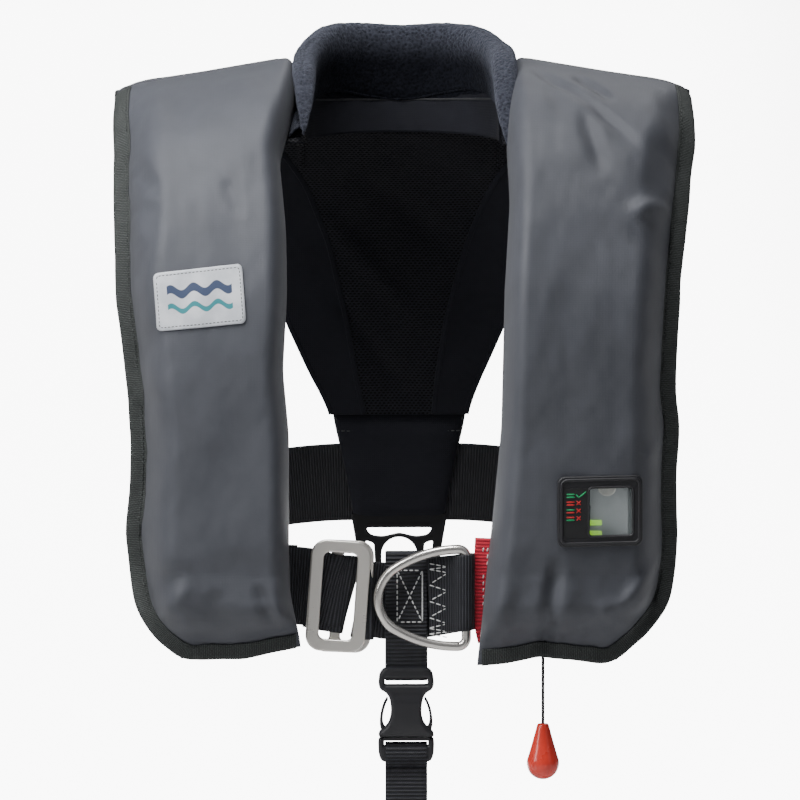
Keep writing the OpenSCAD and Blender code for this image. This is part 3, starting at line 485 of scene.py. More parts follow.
def rounded(points, r):
    """Closed outline with its corners rounded."""
    p, out = np.array(points, float), []
    for a, b, c in zip(np.roll(p, 1, 0), p, np.roll(p, -1, 0)):
        k = min(r, 0.48 * np.linalg.norm(a - b), 0.48 * np.linalg.norm(c - b))
        u, v = b + unit(a - b) * k, b + unit(c - b) * k
        out += [u * (1 - t) ** 2 + 2 * b * t * (1 - t) + v * t * t for t in np.linspace(0, 1, 7)]
    return np.array(out)


def box_outline(w, h, r, x=0.0, z=0.0):
    """Rectangle of that width and height about (x, z), its corners rounded by r."""
    corners = []
    for cx, cz, a0 in ((1, 1, 0), (-1, 1, 90), (-1, -1, 180), (1, -1, 270)):
        corners += [(x + cx * (w / 2 - r) + r * math.cos(math.radians(a0 + a)),
                     z + cz * (h / 2 - r) + r * math.sin(math.radians(a0 + a))) for a in range(0, 91, 10)]
    return np.array(corners)


def plate(name, outlines, thick, bevel, slot, at=(0, 0, 0), turn_y=0.0, turn_z=0.0, bend=None, **more):
    """Flat piece seen from the front, with rounded edges: its own outline first, then those of its openings."""
    curve = bpy.data.curves.new(name, "CURVE")
    curve.dimensions, curve.fill_mode = "2D", "BOTH"
    for outline in outlines:
        s = curve.splines.new("POLY")
        s.points.add(len(outline) - 1)
        s.points.foreach_set("co", np.array([(x, z, 0, 1) for x, z in outline]).ravel())
        s.use_cyclic_u = True
    curve.extrude, curve.bevel_depth = thick / 2 - bevel, bevel
    curve.offset, curve.bevel_resolution = -bevel, 2
    holder = linked(name, curve)
    mesh = bpy.data.meshes.new_from_object(holder.evaluated_get(bpy.context.evaluated_depsgraph_get()))
    bpy.data.objects.remove(holder)
    p = np.zeros(len(mesh.vertices) * 3)
    mesh.vertices.foreach_get("co", p)
    p = p.reshape(-1, 3)[:, [0, 2, 1]] * (1, -1, 1)
    if bend:
        p[:, 1] += bend(p[:, 0], p[:, 2])
    c, s = math.cos(math.radians(turn_y)), math.sin(math.radians(turn_y))
    p = np.stack([p[:, 0] * c + p[:, 2] * s, p[:, 1], p[:, 2] * c - p[:, 0] * s], 1)
    c, s = math.cos(math.radians(turn_z)), math.sin(math.radians(turn_z))
    p = np.stack([p[:, 0] * c - p[:, 1] * s, p[:, 0] * s + p[:, 1] * c, p[:, 2]], 1) + np.array(at)
    mesh.vertices.foreach_set("co", (p * MM).ravel())
    mesh.update()
    return finish_mesh(linked(name, mesh), slot, smooth=more.pop("smooth", False), **more)


# ---- Pull cord and toggle ----
CORD_X, CORD_Y, CORD_TOP, CORD_END, CORD_THICK = 82.5, -109.0, -274.0, -390.0, 1.8


def revolve(name, profile, centre, slot, n=40, **more):
    """Round solid from (radius, z) pairs, its axis upright."""
    profile = np.array(profile, float)
    turn = np.linspace(0, 2 * math.pi, n, endpoint=False)
    p = np.stack([profile[:, :1] * np.cos(turn), profile[:, :1] * np.sin(turn),
                  np.repeat(profile[:, 1:], n, 1)], -1) + np.array(centre)
    return add_mesh(name, p.reshape(-1, 3), tube(len(profile), n), slot, **more)


line = bpy.data.curves.new("pull_cord_braid", "CURVE")
line.dimensions, line.bevel_depth, line.bevel_resolution = "3D", CORD_THICK / 2 * MM, 3
strand = line.splines.new("POLY")
heights = np.linspace(CORD_TOP, CORD_END, 30)
strand.points.add(len(heights) - 1)
for point, z in zip(strand.points, heights):
    point.co = (CORD_X * MM, CORD_Y * MM, z * MM, 1)
pull_cord = linked("pull_cord_braid", line)
line.materials.append(MAT["cord"])
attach(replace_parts(pull_cord, "pull_cord"), "pull_cord")

ball = [(9.85 * math.sin(a), -24.2 - 9.85 * math.cos(a)) for a in np.linspace(0.02, 1.85, 22)]
neck = [(7.9, -16.5), (6.5, -11.5), (5.1, -6.5), (4.1, -2.8), (3.6, -0.9), (2.9, -0.15), (1.0, 0)]
toggle = revolve("toggle_drop", ball + neck, (CORD_X, CORD_Y, CORD_END), "toggle_red", body="pull_cord",
                 replaces=("pull_toggle",))
knot_path = [(CORD_X + 1.5 * math.cos(a), CORD_Y + 1.5 * math.sin(a), CORD_TOP + 2.2 + 1.1 * math.sin(2 * a))
             for a in np.linspace(0, 2 * math.pi, 28, endpoint=False)]
knot = sweep("cord_knot_turns", knot_path, round_section(0.9, 8), (0, 0, 1), "cord", closed=True,
             body="pull_cord", replaces=("cord_knot",))


# ---- Body surface: an arc over the shoulder, then a flatter one, then straight down ----
TOP_Y, TOP_Z, SHOULDER_R, SHOULDER_TURN = -5.0, -24.0, 70.0, math.radians(55)
ARC = SHOULDER_R * SHOULDER_TURN
HEM_S, SEAM_T = 370.0, 1.7


def far_arc(s):
    """Radius and last turn of the flatter arc, in front and behind."""
    front = np.asarray(s) > 0
    return np.where(front, 185, 170), np.radians(np.where(front, 90, 82))


def slope(s):
    """How far the surface has turned from level at length s."""
    a, (far_r, far_turn) = np.abs(s), far_arc(s)
    return np.where(a < ARC, a / SHOULDER_R, np.minimum(far_turn, SHOULDER_TURN + (a - ARC) / far_r))


def wrap(x, s, h):
    """Point at width x and length s over the shoulder (forwards positive), raised by h from the body."""
    x, s, h = np.broadcast_arrays(np.asarray(x, float), s, h)
    a, turn, (far_r, far_turn) = np.abs(s), slope(s), far_arc(s)
    near, t = a < ARC, SHOULDER_TURN
    rest = np.maximum(0, a - ARC - far_r * (far_turn - t))
    run = np.where(near, SHOULDER_R * np.sin(turn), SHOULDER_R * math.sin(t)
                   + far_r * (np.sin(turn) - math.sin(t)) + rest * np.cos(far_turn))
    fall = np.where(near, SHOULDER_R * (1 - np.cos(turn)), SHOULDER_R * (1 - math.cos(t))
                    + far_r * (math.cos(t) - np.cos(turn)) + rest * np.sin(far_turn))
    side = np.where(s > 0, -1, 1)
    return coords(x, TOP_Y + side * (run + h * np.sin(turn)), TOP_Z - fall + h * np.cos(turn))


# ---- Cover: outlines, fullness and folds of the two lobes, all with x outwards ----
hem_lift = table((320, 0), (345, 14), (355, 16.5), (HEM_S, 17), blur=6)
top_z = table((60, 3.0), (66, 2.5), (160, -13.4), (168, -16), (173, -20), (180, -26), blur=2)
puff_depth = table((0, 26), (60, 31), (110, 38), (150, 42), (200, 44), (300, 44), (322, 42), (336, 35),
                   (348, 20), (356, 6), (361, 1), (HEM_S, 0), blur=4)
OUTER = {
    "left": table((0, 172), (12, 174.5), (60, 175.2), (120, 174.6), (150, 174), (180, 170.5), (212, 167.5),
                  (240, 165.3), (268, 165.3), (290, 168), (305, 167.6), (330, 164.5), (345, 160), (355, 153.5),
                  (363, 145), (HEM_S, 132), blur=7),
    "right": table((0, 173), (12, 174.5), (50, 175.2), (80, 171.8), (120, 167.5), (150, 165.6), (180, 163.8),
                   (212, 162.4), (232, 164.4), (255, 163.2), (285, 163.2), (312, 163.6), (330, 160.5), (342, 156),
                   (352, 149), (362, 139), (HEM_S, 124), blur=6),
}
INNER = {
    "left": table((0, 62.5), (20, 64.5), (45, 69.5), (70, 75.5), (112, 72), (150, 71.5), (197, 74), (235, 70.5),
                  (300, 70.5), (330, 70), (HEM_S, 63.5), blur=6),
    "right": table((0, 63.5), (60, 61.5), (95, 63), (150, 59.5), (232, 57.5), (290, 52), (330, 47.5),
                   (HEM_S, 42.5), blur=6),
}
# Folds: (x, s) of both ends, half width, height, and a skew that lights one flank and shades the other
FOLDS = {
    "left": [
        (164, 76, 151, 98, 5, -3.0, 1.5), (152, 100, 153, 128, 6, -2.6, -1.2), (153, 124, 162, 146, 5, -2.0, -1.0),
        (163, 104, 160, 122, 5, 2.6, 0), (152, 166, 162, 192, 5, -2.2, 1.0), (162, 228, 147, 208, 5, -2.4, 2.0),
        (163, 279, 145, 236, 6, -3.4, 2.6), (158, 268, 150, 246, 5, 1.8, 0), (158, 344, 136, 312, 7, -3.4, 2.2),
        (150, 346, 132, 322, 6, 2.0, 0), (88, 322, 77, 352, 5, -2.4, -2.0), (80, 318, 72, 350, 4, 1.6, 0),
        (118, 326, 108, 352, 9, -1.8, 0), (146, 170, 88, 300, 26, 1.5, 0), (86, 206, 128, 296, 20, -1.3, 0),
        (110, 92, 101, 112, 5, -1.2, 0.8), (146, 26, 128, 60, 13, -1.3, 0), (92, 14, 96, 90, 14, 1.0, 0)
    ],
    "right": [
        (81, 18, 139, 69, 4.2, -2.8, 2.4), (104, 18, 125, 40, 4.0, -2.9, 2.0), (109, 51, 122, 86, 5.5, -2.0, 1.6),
        (88, 34, 96, 56, 5, -1.0, 0.6), (97, 30, 118, 52, 6, 1.7, 0), (156, 62, 145, 100, 8, -4.6, -2.4),
        (166, 74, 158, 97, 3.6, 3.6, 0), (164, 101, 134, 106, 5.5, 2.6, 3.2), (150, 112, 138, 128, 9, -2.4, 0),
        (162, 112, 155, 156, 7, -3.2, 1.6), (155, 152, 150, 190, 7, -2.6, 1.4), (150, 186, 149, 226, 6, -1.6, 0.8),
        (154, 236, 144, 246, 5, 1.6, 0.8), (120, 112, 110, 170, 18, -1.2, 0), (88, 308, 80, 368, 5.5, -4.2, -4.0),
        (95, 316, 92, 362, 8, 2.4, 0), (128, 336, 152, 308, 5, 3.2, -1.6), (136, 348, 157, 328, 6, -3.4, 1.4),
        (106, 350, 124, 344, 5, -3.2, 1.2), (116, 340, 130, 332, 6, 1.8, 0), (54, 361, 68, 336, 5, 1.6, -1.0),
        (62, 350, 74, 322, 7, -1.4, 0), (140, 236, 128, 300, 10, -1.0, 0)
    ],
}


def chest_fall(x):
    """How far the chest falls away sideways."""
    return 10 * np.maximum(0, (x - 66.5) / 105.5) ** 1.5


def folds(side, x, s):
    total = np.zeros(np.broadcast(x, s).shape)
    for x0, s0, x1, s1, wide, high, skew in FOLDS[side]:
        dx, ds = x1 - x0, s1 - s0
        long = math.hypot(dx, ds)
        t = ((x - x0) * dx + (s - s0) * ds) / long ** 2
        d = (((x - x0) * ds - (s - s0) * dx) / long + 1.2 * drift(s / 22, x / 22, int(wide * 10))) / wide
        fade = ease(t, -0.12, 0.25) * (1 - ease(t, 0.7, 1.15))
        total += fade * (high + skew * d) * np.exp(-d * d)
    return total


def lobe_height(side, x, s):
    """Height of the cover over the body at outward width x and length s."""
    from_out, from_in = OUTER[side](s) - x, x - INNER[side](s)
    seed = 3 if side == "left" else 8
    rim = 1 - (1 - np.clip((from_out - 8.5) / 22, 0, 1)) ** 2.4
    wall = np.sqrt(1 - (1 - np.clip(from_in / 15, 0, 1)) ** 2.6)
    full = rim ** 0.75 * wall
    chest = SEAM_T + puff_depth(s) * full - chest_fall(x) + hem_lift(s)
    over = top_z(x) - TOP_Z
    over = 1.7 + (over - 1.7) * np.sqrt(1 - (1 - np.clip(from_in / 10, 0, 1)) ** 2.4)
    mix = ease(s, 0, 75)
    base = over * (1 - mix) + chest * mix
    live = full * ease(s, 6, 40) * (1 - ease(s, 352, 366))
    soft = 1.5 * drift(x / 34, s / 60, seed) + 0.7 * drift(x / 15 + s / 60, s / 26, seed + 1)
    fine = 0.22 * drift(x / 6, s / 9, seed + 2)
    # Puckers where the cloth is gathered along the sewn edges
    edge = np.exp(-((from_out - 14) / 9.0) ** 2) * ease(from_out, 7, 11)
    pucker = 2.6 * edge * drift(s / 17 + from_out / 30, from_out / 16, seed + 3)
    hem = np.exp(-((s - 344) / 13.0) ** 2) * (1 - ease(s, 354, 362))
    pucker += 2.0 * hem * drift(x / 13, s / 24, seed + 4) * ease(from_out, 6, 20) * ease(from_in, 0, 14)
    own_folds = folds(side, x, s) * ease(from_out, 6, 12) * ease(from_in, 0, 10)
    return base + live * (soft + fine) + ease(s, 10, 26) * (pucker + own_folds)


def edge_wave(side, s):
    """The sewn edge wanders a little."""
    return 0.7 * drift(s / 24, 0, 21 if side == "left" else 22) * ease(s, 20, 60)


def lobe_grid(side, rows, cols):
    """Widths, lengths and heights of the cover's grid; rows stand closer over the shoulder."""
    s = np.concatenate([np.linspace(-3, 60, rows // 5, endpoint=False), np.linspace(60, HEM_S, rows - rows // 5)])
    u = np.linspace(0, 1, cols)
    u = u - 0.07 * np.sin(2 * math.pi * u)
    s, u = s[:, None], u[None]
    inner, outer = INNER[side](s), OUTER[side](s) + edge_wave(side, s)
    x = inner + (outer - inner) * u
    return x, s + 0 * u, lobe_height(side, x, s)


def mirror(p, sign):
    return p * np.array([sign, 1, 1])


# How far down the hem reaches, at each width
HEM = {"left": table((63, 362), (80, 365), (100, 369.5), (140, 370), blur=4),
       "right": table((42, 374), (60, 372.5), (80, 368), (92, 369.5), (118, 373), (140, 369), blur=3)}


def place(side, x, s, h):
    """Point on a lobe, with the hem's own curve worked in."""
    return mirror(wrap(x, s + (HEM[side](x) - HEM_S) * ease(s, 325, HEM_S), h), SIDES[side])


SIDES = {"left": -1, "right": 1}
FINE = 1.0
WINDOW, WINDOW_TURN = (116.0, -139.0, -256.3), 9.0


def face_out(p, sign):
    """Grid with its columns turned round on one side, so that its faces look the same way on both."""
    return p if sign > 0 else p[:, ::-1]


def cover_point(side, x, s, lift=0.0):
    """Point on the outside of a lobe, raised by lift from the body."""
    return place(side, x, s, lobe_height(side, x, s) + lift)


def lining_point(side, x, s, lift):
    """Point on the inside of a lobe's sewn edge."""
    over = (1 - ease(s, 0, 75)) * (lobe_height(side, x, s) - SEAM_T)
    return place(side, x, s, lift - chest_fall(x) * ease(s, 0, 75) + hem_lift(s) + over)


for side, sign in SIDES.items():
    x, s, h = lobe_grid(side, int(330 * FINE), int(190 * FINE))
    p = face_out(place(side, x, s, h), -sign)
    mid = (p[1:, 1:] + p[:-1, :-1]) / 2 - (WINDOW[0], 0, WINDOW[2])
    behind_pane = (np.abs(mid[..., 0] - 8.6) < 14.6) & (np.abs(mid[..., 2] + 0.6) < 16) & (p[1:, 1:, 1] < 0)
    sheet(side + "_cover_cloth", p, face_out(coords(x, s), -sign), "cover_cloth", thick=0.5, opening=behind_pane,
          replaces=(side + "_front_cover",))
    # The bladder lies folded lengthways inside, its folds stepped one behind the other
    rows = np.linspace(8, 348, int(110 * FINE))[:, None]
    inner, outer = INNER[side](rows), OUTER[side](rows)
    x = inner + 7 + (outer - inner - 25) * np.linspace(0, 1, 72)[None]
    s = rows + 0 * x
    roof = lobe_height(side, x, s)
    floor = 2.2 - chest_fall(x) * ease(s, 0, 75) + hem_lift(s) + (1 - ease(s, 0, 75)) * (roof - 9)
    pleat = 0.86 - 0.10 * ((x - inner) / 13.0 % 1.0) ** 2
    parts = np.abs(s - 262) < 34 if side == "right" else np.abs(s - 215) < 26
    top = floor + np.maximum(0.4, (roof - 3.4 - floor) * pleat)
    top = np.where(parts & (x - inner > 24), np.minimum(top, floor + 3.0), top)
    layers = np.concatenate([face_out(place(side, x, s, top), -sign),
                             face_out(place(side, x, s, floor), -sign)[:, ::-1]], 1)
    add_mesh(side + "_bladder_folds", layers.reshape(-1, 3), tube(*layers.shape[:2]), "bladder_cloth",
             uv=np.tile(coords(x, s), (1, 2, 1)).reshape(-1, 2), replaces=(side + "_bladder",))
    rows = np.linspace(0.5, HEM_S, int(120 * FINE))[:, None]
    u = np.linspace(0, 1, 24)[None]
    inner, outer = INNER[side](rows), OUTER[side](rows) + edge_wave(side, rows)
    x = inner + (outer - inner) * u
    sag = 0.5 * drift(x / 20, rows / 30, 40) - chest_fall(x) * ease(rows, 0, 75) + hem_lift(rows)
    under = place(side, x, rows, sag - 0.2)
    sheet(side + "_lining", face_out(under, sign), face_out(coords(x, rows), sign), "lining_cloth", thick=0.6,
          replaces=(side + "_back_panel",))


# ---- Neck part of the cover, over the back ----
def neck_point(a, u, h):
    """Point on the ray at angle a, from the neck opening (u 0) to the square outer edge (u 1)."""
    c, s = np.cos(a), np.sin(a)
    start = 1 / np.sqrt((c / 66.5) ** 2 + (s / 60) ** 2)
    reach = ((np.abs(c) / 173.2) ** 8 + (np.abs(s) / 135) ** 8) ** -0.125
    r = start + (reach - start) * u
    return wrap(r * c, -r * s, h), r * c, -r * s


def neck_height(x, s, u):
    """Height of the neck cover over the body."""
    fall = table((66.5, 0), (90, 4), (120, 10), (145, 9), (160, 5), (172, -7), blur=6)
    full = np.sqrt(1 - (1 - np.clip(u / 0.13, 0, 1)) ** 2.6)
    full = full * (1 - (1 - np.clip((0.93 - u) / 0.2, 0, 1)) ** 2.4) ** 0.75
    mix = ease(-s, 0, 60)
    over = top_z(66.5 + 105.5 * u) - TOP_Z
    over = 1.7 + (over - 1.7) * np.sqrt(1 - (1 - np.clip(u / 0.1, 0, 1)) ** 2.4)
    back = SEAM_T + 26 * full - fall(np.abs(x)) * (1 - ease(-s, 0, 120)) - chest_fall(np.abs(x)) * ease(-s, 0, 120)
    soft = full * (1.4 * drift(x / 32, s / 24, 61) + 0.6 * drift(x / 12, s / 12, 62))
    edge = np.exp(-((u - 0.8) / 0.1) ** 2) * 1.6 * drift(np.arctan2(s, x) * 9, u * 4, 63)
    return over * (1 - mix) + (back + soft + edge) * mix


a = np.linspace(0, math.pi, int(220 * FINE))[:, None]
u = np.linspace(0, 1, int(70 * FINE))[None]
_, x, s = neck_point(a, u, 0)
p, _, _ = neck_point(a, u, neck_height(x, s, u))
sheet("neck_cover_cloth", p, coords(x, s), "cover_cloth", thick=0.5, replaces=("neck_cover",))
inside_a, inside_u = np.linspace(0.12, math.pi - 0.12, 150)[:, None], np.linspace(0.14, 0.80, 40)[None]
_, x, s = neck_point(inside_a, inside_u, 0)
roof = neck_height(x, s, inside_u)
floor = np.minimum(neck_height(x, s, 1.0 + 0 * inside_u) - 1.2, 0.6)
top = floor + np.maximum(0.4, (roof - 3.2 - floor) * (0.86 - 0.10 * (inside_u * 9 % 1.0) ** 2))
p = np.concatenate([neck_point(inside_a, inside_u, top)[0], neck_point(inside_a, inside_u, floor)[0][:, ::-1]], 1)
add_mesh("neck_bladder_folds", p.reshape(-1, 3), tube(*p.shape[:2]), "bladder_cloth",
         uv=np.tile(coords(x, s), (1, 2, 1)).reshape(-1, 2), replaces=("neck_bladder",))
u = np.linspace(0, 1, 16)[None]
_, x, s = neck_point(a, u, 0)
p, _, _ = neck_point(a, u, np.minimum(neck_height(x, s, u * 0 + 1.0) - 2.2, 0.0))
sheet("neck_lining_cloth", p[:, ::-1], coords(x, s), "lining_cloth", thick=0.6, replaces=("neck_back_panel",))


# ---- Edge tape, folded round the sewn edge, with its row of stitches ----
def tape(name, edge, inward, front, back, node, up_at):
    """edge is (x, s) along the seam, inward its direction into the cloth; front and back give points there,
    and up_at the direction off the cloth at each stitch."""
    run = lengths(edge)
    # (distance from the seam, height, whether it is the front)
    profile = [(9.0, 0.3, 1), (8.9, 0.9, 1), (8.2, 1.15, 1), (5.0, 1.2, 1), (1.6, 1.2, 1), (0.3, 1.0, 1),
               (-0.7, 0.2, 1), (-0.7, -0.4, 0), (0.3, -1.0, 0), (4.0, -1.3, 0), (8.6, -1.3, 0), (8.9, -0.7, 0)]
    rows = []
    for d, h, is_front in profile:
        reach = d + (0.45 * drift(run / 9, 0, 77) if d > 8 else 0) + 0.25 * drift(run / 14, 1, 78)
        q = edge + inward * np.asarray(reach)[:, None]
        h = h + (0.18 * drift(run / 5, d, 79) if is_front else 0)
        rows.append((front if is_front else back)(q[:, 0], q[:, 1], h))
    p = np.stack(rows, 1)
    uv = coords(run[:, None], np.arange(len(profile)) * 1.7)
    add_mesh(name, p.reshape(-1, 3), tube(*p.shape[:2]), "binding", uv=uv.reshape(-1, 2), replaces=(node,))
    q = edge + inward * 7.0
    at, along, _ = stitch_line(front(q[:, 0], q[:, 1], 1.2 + 0 * run), FRONT, 3.1)
    beads(name + "_stitches", at, along, up_at(at), (2.2, 0.65, 0.7), "thread_grey")


for side, sign in SIDES.items():
    s = np.linspace(1.5, HEM_S, 400)
    x = OUTER[side](s) + edge_wave(side, s)
    hem_x = np.linspace(OUTER[side](HEM_S) - 1, INNER[side](HEM_S) + 1.0, 110)
    edge = np.concatenate([coords(x, s), coords(hem_x, HEM_S)])
    edge = smoothed(resample(np.pad(edge, ((0, 0), (0, 1))), 1.6)[:, :2], 4)
    way = unit(np.gradient(edge, axis=0))
    tape(side + "_edge_tape", edge, coords(-way[:, 1], way[:, 0]), partial(cover_point, side),
         partial(lining_point, side), side + "_binding",
         lambda at: coords(0, -1, np.clip(0.5 + at[:, 2] / 60, -0.1, 0.8)))
a = np.linspace(0.004, math.pi - 0.004, 460)
_, x, s = neck_point(a, np.ones_like(a), 0)
edge = coords(x, s)
way = unit(np.gradient(edge, axis=0))


def neck_rim(x, s):
    return neck_height(x, s, np.ones_like(x))


tape("neck_edge_tape", edge, coords(way[:, 1], -way[:, 0]), lambda x, s, h: wrap(x, s, neck_rim(x, s) + h),
     lambda x, s, h: wrap(x, s, neck_rim(x, s) - SEAM_T + h), "neck_binding",
     lambda at: coords(0 * at[:, 0], 1, 0.4))


# ---- Fleece collar: a padded band with a rolled top, its ends pointed ----
TEAR = spline([(0, 0, 1), (.6, 0, .95), (.92, 0, .78), (1, 0, .5), (.9, 0, .15), (.7, 0, -.15), (.52, 0, -.5),
               (.4, 0, -.85), (.2, 0, -1), (-.2, 0, -1), (-.4, 0, -.85), (-.52, 0, -.5), (-.7, 0, -.15),
               (-.9, 0, .15), (-1, 0, .5), (-.92, 0, .78), (-.6, 0, .95), (-.05, 0, 1)], 0.16)[:, [0, 2]]
# (x, y, z, half thickness, half height) of the collar, right end to nape, then on to the left end
band = np.array([
    (62.5, -64, -42, 1.2, 2.0), (62, -58, -34, 4.6, 8), (61.5, -47, -24, 6.8, 14), (61.3, -32, -14.5, 7.8, 18.5),
    (60.5, -15, -10.0, 7.6, 19.5), (57.5, 3, -8.0, 7.2, 18.5), (52.5, 20, -5.0, 6.8, 18.0), (43, 36, -3.4, 6.4, 19.2),
    (24, 49, -5.5, 6, 22), (2, 53, -8.5, 6, 22.8), (-20, 50, -6.5, 6, 22.5), (-39, 38.5, -3.3, 6.4, 20.5),
    (-51, 22, -5.2, 6.8, 19), (-57.5, 3, -9.5, 7.2, 18.5), (-59.8, -15, -13, 7.4, 18), (-60, -31, -17, 7, 15.5),
    (-60, -42, -24, 5.6, 11), (-60.5, -51, -31, 3.4, 6), (-61, -56, -36, 1.0, 1.6)])
path = spline(band[:, :3], 1.6 / FINE)
run = np.linspace(0, 1, len(path))
knots = lengths(band[:, :3])
size = np.stack([np.interp(run, knots / knots[-1], band[:, i]) for i in (3, 4)], 1)
size = smoothed(size, 5)
size[[0, -1]] *= 0.3
UP = np.array([0, 0, 1.0])
outward = np.cross(unit(np.gradient(path, axis=0) * (1, 1, 0)), UP)
outward *= np.sign((outward * (path - (0, -10, 0))).sum(1, keepdims=True))
lean = unit(outward + UP * 0.12)
p = (path[:, None] + lean[:, None] * TEAR[None, :, :1] * size[:, None, :1]
     + UP * TEAR[None, :, 1:] * size[:, None, 1:])
i, j = np.meshgrid(np.arange(p.shape[0]), np.arange(p.shape[1]), indexing="ij")
puffy = 0.5 * drift(i / 9, j / 5, 91) + 0.35 * drift(i / 2.2, j / 1.6, 92)
p += unit(p - path[:, None]) * puffy[..., None] * np.minimum(1, size[:, None, :1] / 4)
collar = add_mesh("collar_fleece", p.reshape(-1, 3), tube(*p.shape[:2]), "fleece",
                  uv=coords(i * 1.6, j * 2.0).reshape(-1, 2), replaces=("fleece_collar",))
# Its lower edge spreads out to the cover's neck opening
foot = path - UP * size[:, 1:] * 0.55
t = np.linspace(0, 1, 8)[None, :, None]
spread = (outward * 9.5 - UP * 7)[:, None] * t + foot[:, None]
spread[..., 2] += 1.6 * np.sin(math.pi * t[..., 0])
sheet("collar_foot", spread[6:-6], coords(run[6:-6, None] * 300, t[..., 0] * 12), "fleece", thick=0.9)
# Piping along the collar's lower edge
foot = path + UP * (-size[:, 1:] * 0.98) - outward * 1.4
keep = slice(len(path) // 7, -len(path) // 7)
sweep("collar_piping", foot[keep], round_section(0.9, 8), (0, 0, 1), "fleece")


# ---- Back lining and yoke ----
a = np.linspace(math.radians(-6), math.radians(186), 120)[:, None]


def nape_line(x, y, z):
    """Half ellipse round the back of the neck; z is the height at its ends and what the nape adds."""
    return coords(x * np.cos(a), -2 + y * np.sin(a), z[0] + z[1] * np.sin(a))


def nape_band(name, z0, z1, y0, y1, slot, **more):
    """Band round the inside of the neck between two such lines."""
    t = np.linspace(0, 1, 16)[None]
    p = nape_line(58.5, y0, z0) * (1 - t[..., None]) + nape_line(59.5, y1, z1) * t[..., None]
    p[..., 1] += 0.5 * drift(a * 9, t * 3, 95)
    sheet(name, p, coords(a * 58, -20 * t), slot, thick=0.9, **more)


nape_band("nape_lining", (-20, -8), (-50, 0), 56.5, 46.0, "yoke_cloth", replaces=("neck_lining",))
nape_band("nape_facing", (-12, -2), (-24.6, -7.5), 55.6, 55.0, "fleece")
sweep("nape_seam", nape_line(58.4, 54.0, (-23.6, -7.5))[14:-14, 0], round_section(0.8, 8), UP, "lining_cloth")
for sign, side in ((-1, "left"), (1, "right")):
    s = np.linspace(-88, 52, 60)[:, None]
    x = 59 + (80 - 59) * np.linspace(0, 1, 12)[None] + 0 * s
    p = mirror(wrap(x, s, -2.4 - 1.6 * np.exp(-((x - 59) / 3) ** 2)), sign)
    sheet("neck_facing_" + side, face_out(p, -sign), face_out(coords(x, s), -sign), "mesh", thick=0.8)

YOKE_EDGE = table((48, 108), (60, 104), (110, 88), (160, 74.5), (191, 65.8), (218, 54), (238, 44.8), (250, 40.6),
                  blur=5)
YOKE_SHIFT = table((48, 0), (150, -1.5), (190, -2.2), (225, -1.8), (250, -0.3))
MESH_EDGE = table((48, 92), (70, 76), (100, 58), (140, 43), (190, 31), (255, 21), blur=8)
# (x, s) of both ends, half width and depth
YOKE_FOLDS = ((-58, 110, 18, 196, 7, 1.8), (-30, 90, 40, 150, 9, -1.6), (52, 120, -6, 214, 8, 1.6),
              (-46, 160, 4, 236, 6, -1.4), (40, 170, 12, 236, 6, 1.3), (8, 70, -40, 130, 8, 1.2))


def yoke_point(x, s, lift=0.0):
    """Point on the yoke at width x and length s down the back, with its soft diagonal folds."""
    fold = 0.0
    for x0, s0, x1, s1, wide, high in YOKE_FOLDS:
        long = math.hypot(x1 - x0, s1 - s0)
        t = ((x - x0) * (x1 - x0) + (s - s0) * (s1 - s0)) / long ** 2
        d = ((x - x0) * (s1 - s0) - (s - s0) * (x1 - x0)) / long / wide
        fold = fold + high * np.exp(-d * d) * ease(t, -0.1, 0.3) * (1 - ease(t, 0.7, 1.1))
    inward = 2.6 + lift + (fold + 0.9 * drift(x / 26, s / 30, 97)) * ease(s, 60, 90) * (1 - ease(s, 226, 246))
    return wrap(x + YOKE_SHIFT(s), -s, -inward - chest_fall(np.abs(x)))


def yoke_sheet(name, left, right, cols, slot, node, s0=48.0, lift=0.0):
    """Part of the yoke between two edges given as functions of s."""
    s = np.linspace(s0, 250.0, int(130 * FINE))[:, None]
    u = np.linspace(0, 1, int(cols * FINE))[None]
    x = left(s) + (right(s) - left(s)) * u
    s = s + 0 * x
    sheet(name, yoke_point(x, s, lift), coords(x, -s), slot, thick=0.9, replaces=(node,))


yoke_sheet("yoke_net", lambda s: -MESH_EDGE(s), MESH_EDGE, 90, "mesh", "yoke_mesh", s0=60.0)
yoke_sheet("yoke_panel_left", lambda s: -YOKE_EDGE(s), lambda s: -MESH_EDGE(s) + 1.5, 36, "yoke_cloth",
           "yoke_side_left", lift=0.5)
yoke_sheet("yoke_panel_right", lambda s: MESH_EDGE(s) - 1.5, YOKE_EDGE, 36, "yoke_cloth", "yoke_side_right", lift=0.5)
for sign, side in ((-1, "left"), (1, "right")):
    s = np.linspace(56, 249.5, 90)
    for at_edge, label, inset in ((YOKE_EDGE, "rim", 0.0), (MESH_EDGE, "seam", 0.6)):
        line = yoke_point(sign * (at_edge(s) - inset), s, 1.2)
        sweep(f"yoke_{label}_{side}", line, flat_section(3.2, 1.0), (0, -1, 0.1), "yoke_cloth")

